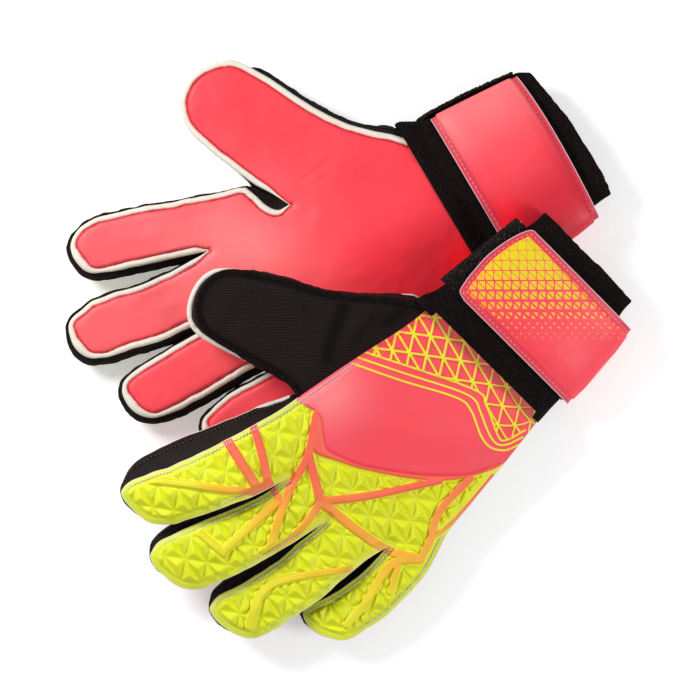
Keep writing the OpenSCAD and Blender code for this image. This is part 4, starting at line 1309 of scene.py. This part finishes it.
def around(s, x, a, half, back, palm=None, taper=True, square=0.0):
    """Points round the wrist at angle a, 0 at the thumb, a quarter turn at the back."""
    x, a = np.broadcast_arrays(np.asarray(x, float), np.asarray(a, float))
    power = 0.55 - 0.33 * square
    y = half * bow(np.cos(a), power)
    z = MID_Z + np.where(np.sin(a) > 0, back, back if palm is None else palm) * bow(np.sin(a), power)
    if taper:
        thumb_side = 0.12 if s == "left" else 0.08
        y = y * (1 - np.where(y > 0, thumb_side, 0.07) * narrowing(x))
    return np.stack([x, y, z + tilt(s, y)], -1)


def sleeve(s, rows, n, taper=True, square=0.0):
    """A skin through rings given as x, half width, height at the back and height at the palm."""
    a = angle_at(np.linspace(arc_at(0), arc_at(2 * np.pi), n))
    a[-1] = a[0] + 2 * np.pi
    x, half, back, palm = rows.T[:, :, None]
    return around(s, x, a[None], half, back, palm, taper, square)


def wear_sleeve(s, name, grid, node):
    obj = piece(s, name, [grid_part(grid, flip=True)], [ELASTIC])
    note(obj, s, "hand", [node])


def build_cuff(s):
    """The elastic sleeve of the cuff, turned in at its hem."""
    end = CUFF_END[s]
    xs = np.linspace(*CUFF_X, count(110))
    q = step(40, 70, xs)
    rise = CUFF_RISE - 0.3 * q
    rows = np.column_stack([xs, mix(CUFF_HALF, end, q), rise, rise])
    hem = [(73.6, end - 0.3, 5.2, 5.2), (73.8, end - 0.8, 4.7, 4.7), (73.2, end - 1.3, 4.2, 4.2)]
    grid = sleeve(s, np.vstack([rows, hem, rows[::-1] - [0, *3 * [CUFF_THICK]]]), count(300), taper=False)
    x, y, z = np.moveaxis(grid, -1, 0)
    free = step(56, 73, x)
    z += 0.7 * free * waves(y, x * 0.3, 11)
    x += free * (0.5 * waves(y, z, 15) + 0.25 * waves(y, z, 2.5))
    if s == "right":
        x += free * (2.4 * (1 - (y / 38) ** 2) - 4.6 * np.clip((y + 26) / 64, 0, 1))
        y += 1.0 * free + 4.0 * step(48, 58, x) * step(71, 62, x) * step(20, 36, y)
    z -= 0.5 * hill((x - 66) / 0.9) * np.sign(z - MID_Z - tilt(s, y))
    wear_sleeve(s, "cuff_sleeve", grid, "cuff")


def build_band(s):
    """The elastic band round the wrist, flared where it meets the hand."""
    xs = np.linspace(*BAND_X[s], count(130))
    flare, rib = step(9, -1, xs), 0.14 * np.sin(2 * np.pi * xs / 1.5)
    back, palm = (5.6, 2.9) if s == "left" else (3.0, 5.0)
    sizes = ((BAND_HALF, 2.0), (BAND_RISE, back), (BAND_RISE, palm))
    rows = np.column_stack([xs] + [size + more * flare + rib for size, more in sizes])
    lip = [(-1.4, BAND_HALF + 0.4, BAND_RISE + back - 1.4, BAND_RISE + palm - 1.4)]
    rings = np.vstack([rows, rows[::-1] - [0, *3 * [BAND_THICK]], lip])
    grid = sleeve(s, rings, count(340), square=np.r_[flare, flare[::-1], 1][:, None])
    x, y, z = np.moveaxis(grid, -1, 0)
    z += 0.1 * waves(y, x, 1.3)
    if s == "right":
        y += np.interp(x, [0, 9, 14, 20], [7.8, 5.6, 4.2, 0]) * step(26, 41, y)
    else:
        y += np.interp(x, [-2, 3, 9, 15, 20], [4.4, 4.0, 2.6, 1.5, 0]) * step(26, 41, y)
        y += 1.8 * step(9, -1, x) * step(-32, -41, y)
    wear_sleeve(s, "wrist_elastic", grid, "wrist_band")


# The strap

# The tab's rounded end, as x and y.
TAB_END = [(13.8, 28.5), (14.5, 31), (15.8, 34.3), (20, 35.6), (25, 36.5), (35.7, 37.1), (45, 36.2),
           (53, 34.5), (59.5, 32), (62.4, 29.9), (63.2, 27)]
TAB_HALF, TAB_HIGH = 44.8, 13.0
# The rows and columns of the tab's dots.
ROW_STEP, COLUMN_STEP, ROW_AT, COLUMN_AT = 4.97, 4.27, 37.98, 19.2
# How far the faces of the pile, the hooks and the tab stand off the wrist's ring, and the strap's inner
# face at both ends with its thickness.
PILE_OFF, HOOK_OFF, TAB_OFF = (3.6, 5.0), (5.1, 6.3), (6.4, 8.5)
STRAP_OFF, STRAP_LIFT, STRAP_THICK = 3.9, 2.6, 2.3
# The angles between which the pile and the hooks lie, in degrees round the wrist.
PILE_ANGLES, HOOK_ANGLES = (-10, 150), (38, 95)
# How far in from the edge the strap and the tab are sewn.
STRAP_SEAM, TAB_SEAM = 1.9, 2.1


def layer(s, x, a, grow, wide=0.0):
    """Points round the wrist on a layer of the strap."""
    return around(s, x, a, WRIST_HALF + wide + grow, WRIST_RISE + grow)


def flat_strip(s, xs, angles, n, grows, wide=0.0):
    """Grids of a strip round the wrist between two angles in degrees, one for each face."""
    ends = arc_at(np.radians(angles))
    a = angle_at(mix(*ends, np.linspace(0, 1, n)))[None]
    return [layer(s, xs[:, None], a, grow, wide) for grow in grows]


def strip_parts(inner, outer, attrs, flip):
    """The face, the underside and the cut edge of a strip."""
    v, f = shell(outer, inner)
    faces = len(quads(*outer.shape[:2]))
    used, rim = np.unique(f[2 * faces:], return_inverse=True)
    return [grid_part(outer, 0, attrs, flip), grid_part(inner, 2, flip=not flip),
            part(v[used], rim.reshape(-1, 4), 1, flip=flip)]


def sewn_row(path, up, mat):
    return part(*running_stitches(path + [0, 0, up], 1.6, 2.6, 0.18), mat)


def pale_edge(path):
    return part(*tube(even(path, max(8, int(run(path)[-1] / 0.5))), 0.17, 6), 1)


def build_under(s):
    """The strap's palm side, sewn on at the thumb's edge and folded at the little finger's."""
    n, m = count(130), count(280)
    xs = np.linspace(*STRAP_X, n)
    lengths = np.linspace(arc_at(2 * np.pi) - 2.2, arc_at(np.pi), m)[None]
    x, t = np.broadcast_arrays(xs[:, None], np.linspace(0, 1, m)[None])
    side = np.minimum(x - xs[0], xs[-1] - x)
    if s == "right":
        x = x + 2.2 * np.sin(np.pi * t**0.8) * (x - xs[0]) / (xs[-1] - xs[0])
    d = np.minimum(side, np.abs(lengths - lengths[0, 0]) + 3.0)
    scallop = 0.35 * np.sin(2 * np.pi * lengths / 2.6) * (xs > 38)[:, None]
    puff = 0.9 * step(2.6, 3.9, d + scallop) + 0.6 * step(4, 14, d) - 0.9
    puff += 0.25 * waves(x, lengths + 0 * x, 11)
    puff += (3.4 if s == "right" else 0.6) * np.sin(np.pi * t) * step(0, 9, side)
    grow = STRAP_OFF + STRAP_LIFT * t**4
    a, wide = angle_at(lengths), 0.0 if s == "left" else 1.2
    inner, outer = (layer(s, x, a, k, wide) for k in (grow, grow + STRAP_THICK + puff))
    # Painted light on the strap: lighter on the thumb side (painted highlight), darker further round (deep,
    # painted shade), and a purer red near the right strap's finger-side edge (glow, painted reflection).
    attrs = {"edge": d, "dot": NOWHERE, "worn": step(0.5, 0.05, t),
             "glow": hill((x - 24) / 9, (t - 0.7) / 0.12) * (s == "right"),
             "deep": step(0.4, 0.75, t) * (1 - 0.5 * step(0.85, 1, t))}
    i = int(round(STRAP_SEAM / (xs[-1] - xs[0]) * (n - 1)))
    parts = strip_parts(inner, outer, attrs, True)
    parts += [sewn_row(outer[row, 4:-2], -0.12, thread) for row, thread in ((i, 3), (n - 1 - i, 4))]
    parts += [pale_edge(outer[0]), pale_edge(outer[-1])]
    obj = piece(s, "strap_under", parts, [STRAP, PALE_EDGE, LOOP, PINK_THREAD, RED_THREAD])
    note(obj, s, "hand", ["wrist_strap"])


def build_pile(s):
    """The pile panel on the back that the tab closes on."""
    xs = np.linspace(*PILE_X[s], count(110))
    wide = 3.2
    if s == "right":
        wide = 4.6 + 1.0 * np.sin(np.pi * (xs - xs[0]) / (xs[-1] - xs[0]))[:, None]
    inner, outer = flat_strip(s, xs, PILE_ANGLES, count(300), PILE_OFF, wide)
    x, y, z = np.moveaxis(outer, -1, 0)
    fuzz, upright = 0.42 * waves(x, y + z, 1.1), step(30, 44, y)
    z += fuzz * (1 - upright)
    y += fuzz * upright * 1.3
    x += 0.6 * step(1.2, 0, np.minimum(x - xs[0], xs[-1] - x)) * waves(y, z, 0.9)
    obj = piece(s, "pile_panel", [part(*shell(outer, inner))], [LOOP])
    note(obj, s, "hand", ["loop_panel"])


def tab_dots(xy, d):
    """The tab's cut squares: distance from the edge of the nearest one, and how far its colour has faded."""
    east, south = xy @ EAST, xy @ SOUTH
    off = south + ROW_AT - ROW_STEP * np.round((south + ROW_AT) / ROW_STEP)
    row = south - off
    east = east - COLUMN_AT - 0.07 * (row + 33)
    beside = east - COLUMN_STEP * np.round(east / COLUMN_STEP)
    size = np.interp(row, [-55, -43, -33, -22.5, -12.5, -8, -6], [1.97, 1.88, 1.68, 1.46, 1.25, 0.6, -0.3])
    tall = np.interp(row, [-55, -43, -33, -12.5], [1.19, 1.16, 1.1, 1.0])
    slash = np.interp(row, [-55, -43, -33, -27.6, -22.5, -17.6, -8], [0.1, 0.2, 0.3, 0.45, 0.7, 1.1, 1.2])
    square = np.maximum(abs(beside), abs(off) / tall) - size
    dot = np.max([square, slash - abs(beside - off) / math.sqrt(2), 3.7 - d], axis=0)
    return dot, np.clip(np.interp(south, [-50, -12], [0.1, 0.9]) + 0.3 * step(9, 3.5, d), 0, 1)


def build_tab(s):
    """The strap's tab over the back, joined at the little finger's edge."""
    n, m = count(140), count(270)
    xs = np.linspace(*TAB_X, n)
    y_end = np.interp(xs, *curve(TAB_END, 8).T)
    scan = np.linspace(0.02, np.pi / 2, 3000)
    reach = TAB_HALF * bow(np.cos(scan))
    a_end = np.interp(-y_end / (1 - 0.12 * narrowing(xs)), -reach, scan)
    f = np.linspace(0, 1, m)[None]
    start = arc_at(a_end)[:, None]
    arc = mix(start, arc_at(np.pi), f)
    a, x = angle_at(arc), xs[:, None] + 0 * arc
    d = np.min([x - xs[0], xs[-1] - x, arc - start], axis=0)
    puff = 0.9 * step(2.9, 4.4, d) + 0.5 * step(4, 14, d) - 0.9 + 0.22 * waves(x, arc, 12)
    puff += (1.5 if s == "left" else 0.4) * np.sin(np.pi * f) * step(0, 9, d)
    inner, outer = (layer(s, x, a, grow) for grow in (TAB_OFF[0], TAB_OFF[1] + puff))
    dot, fade = tab_dots(outer[..., :2], d)
    outer[..., 2] -= 0.1 * step(0.1, -0.15, dot)
    parts = strip_parts(inner, outer, {"edge": d, "dot": dot, "fade": fade}, False)
    sizes = ((xs[-1] - xs[0], n), ((arc - start)[n // 2, -1], m))
    i, j = (int(round(TAB_SEAM / size * (lines - 1))) for size, lines in sizes)
    parts += [sewn_row(path, 0.1, 3) for path in (outer[i, j:-2], outer[n - 1 - i, j:-2], outer[i:n - i, j])]
    parts.append(pale_edge(np.vstack([outer[0, ::-1], outer[1:-1, 0], outer[-1]])))
    obj = piece(s, "strap_flap", parts, [STRAP, PALE_EDGE, LOOP, PINK_THREAD])
    note(obj, s, "hand", ["strap_tab"], "tab")


def build_hooks(s):
    """The hook patch under the tab's end."""
    inner, outer = flat_strip(s, np.linspace(*HOOK_X, count(50)), HOOK_ANGLES, count(60), HOOK_OFF)
    inner[..., 2] -= 0.12 * waves(inner[..., 0], inner[..., 1], 1.2)
    obj = piece(s, "hook_pad", [part(*shell(outer, inner))], [HOOK])
    note(obj, s, "tab", ["hook_patch"])


for side in SIDES:
    back = build_back(side)
    knit_back = build_knit(side)
    palm = build_palm(side)
    build_walls(side, palm, back, knit_back)
    for build in (build_lining, build_cuff, build_band, build_under, build_pile, build_tab, build_hooks):
        build(side)


# Floor, light and camera, in metres

FLOOR_HALF, FLOOR_GAP = 3.0, 0.0001


def shown_to_camera(tree, plain, seen, output):
    """Uses one shader for what the camera sees itself and the other for the light that goes round."""
    path, pick = (tree.nodes.new("ShaderNode" + kind) for kind in ("LightPath", "MixShader"))
    tree.links.new(path.outputs["Is Camera Ray"], pick.inputs[0])
    tree.links.new(plain.outputs[0], pick.inputs[1])
    tree.links.new(seen.outputs[0], pick.inputs[2])
    tree.links.new(pick.outputs[0], tree.nodes[output].inputs["Surface"])


def build_floor():
    mesh = bpy.data.meshes.new("floor")
    r, z = FLOOR_HALF, min(0.0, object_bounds()[0][2]) - FLOOR_GAP
    mesh.from_pydata([(-r, -r, z), (r, -r, z), (r, r, z), (-r, r, z)], [], [(0, 1, 2, 3)])
    obj = add_object("floor", mesh)
    f = Finish("pale_floor", Base_Color=(0.86, 0.86, 0.86), Roughness=0.9, Specular_IOR_Level=0.1)
    glow, add = (f.tree.nodes.new("ShaderNode" + kind) for kind in ("Emission", "AddShader"))
    glow.inputs["Strength"].default_value = 0.35
    f.tree.links.new(f.bsdf.outputs[0], add.inputs[0])
    f.tree.links.new(glow.outputs[0], add.inputs[1])
    shown_to_camera(f.tree, f.bsdf, add, "Material Output")
    mesh.materials.append(f.mat)


def build_world():
    world = bpy.data.worlds.new("studio")
    bpy.context.scene.world = world
    world.use_nodes = True
    tree = world.node_tree
    plain, seen = tree.nodes["Background"], tree.nodes.new("ShaderNodeBackground")
    plain.inputs["Color"].default_value = (1, 1, 1, 1)
    plain.inputs["Strength"].default_value = 0.36
    seen.inputs["Strength"].default_value = 1.0
    shown_to_camera(tree, plain, seen, "World Output")


RIGHT_WAY, UP_WAY = Vector((0.788, -0.616, 0)), Vector((0.616, 0.788, 0))
MIDDLE = Vector((-0.0062, -0.02445, 0.020))
LENS, SENSOR, VIEW_WIDTH = 250, 36, 0.350
LIGHT_SIZE = 0.36


def area_light(name, right, up, high, power):
    """A round lamp that faces the gloves, placed by the picture's directions."""
    data = bpy.data.lights.new(name, "AREA")
    data.shape = "DISK"
    data.size = LIGHT_SIZE
    data.energy = power
    obj = add_object(name, data)
    obj.location = MIDDLE + RIGHT_WAY * right + UP_WAY * up + Vector((0, 0, high))
    obj.rotation_euler = (MIDDLE - obj.location).to_track_quat("-Z", "Y").to_euler()


def build_camera():
    data = bpy.data.cameras.new("camera")
    data.lens = LENS
    data.sensor_width = SENSOR
    data.clip_end = 50
    obj = add_object("camera", data)
    obj.location = MIDDLE + Vector((0, 0, VIEW_WIDTH * LENS / SENSOR))
    obj.rotation_euler = Matrix((RIGHT_WAY, UP_WAY, Vector((0, 0, 1)))).transposed().to_euler()
    bpy.context.scene.camera = obj


build_floor()
build_world()
area_light("key", -0.62, 0.42, 0.56, 7.4)
area_light("fill", 0.78, -0.30, 0.58, 5.0)
build_camera()
bpy.context.scene.view_settings.view_transform = "Standard"
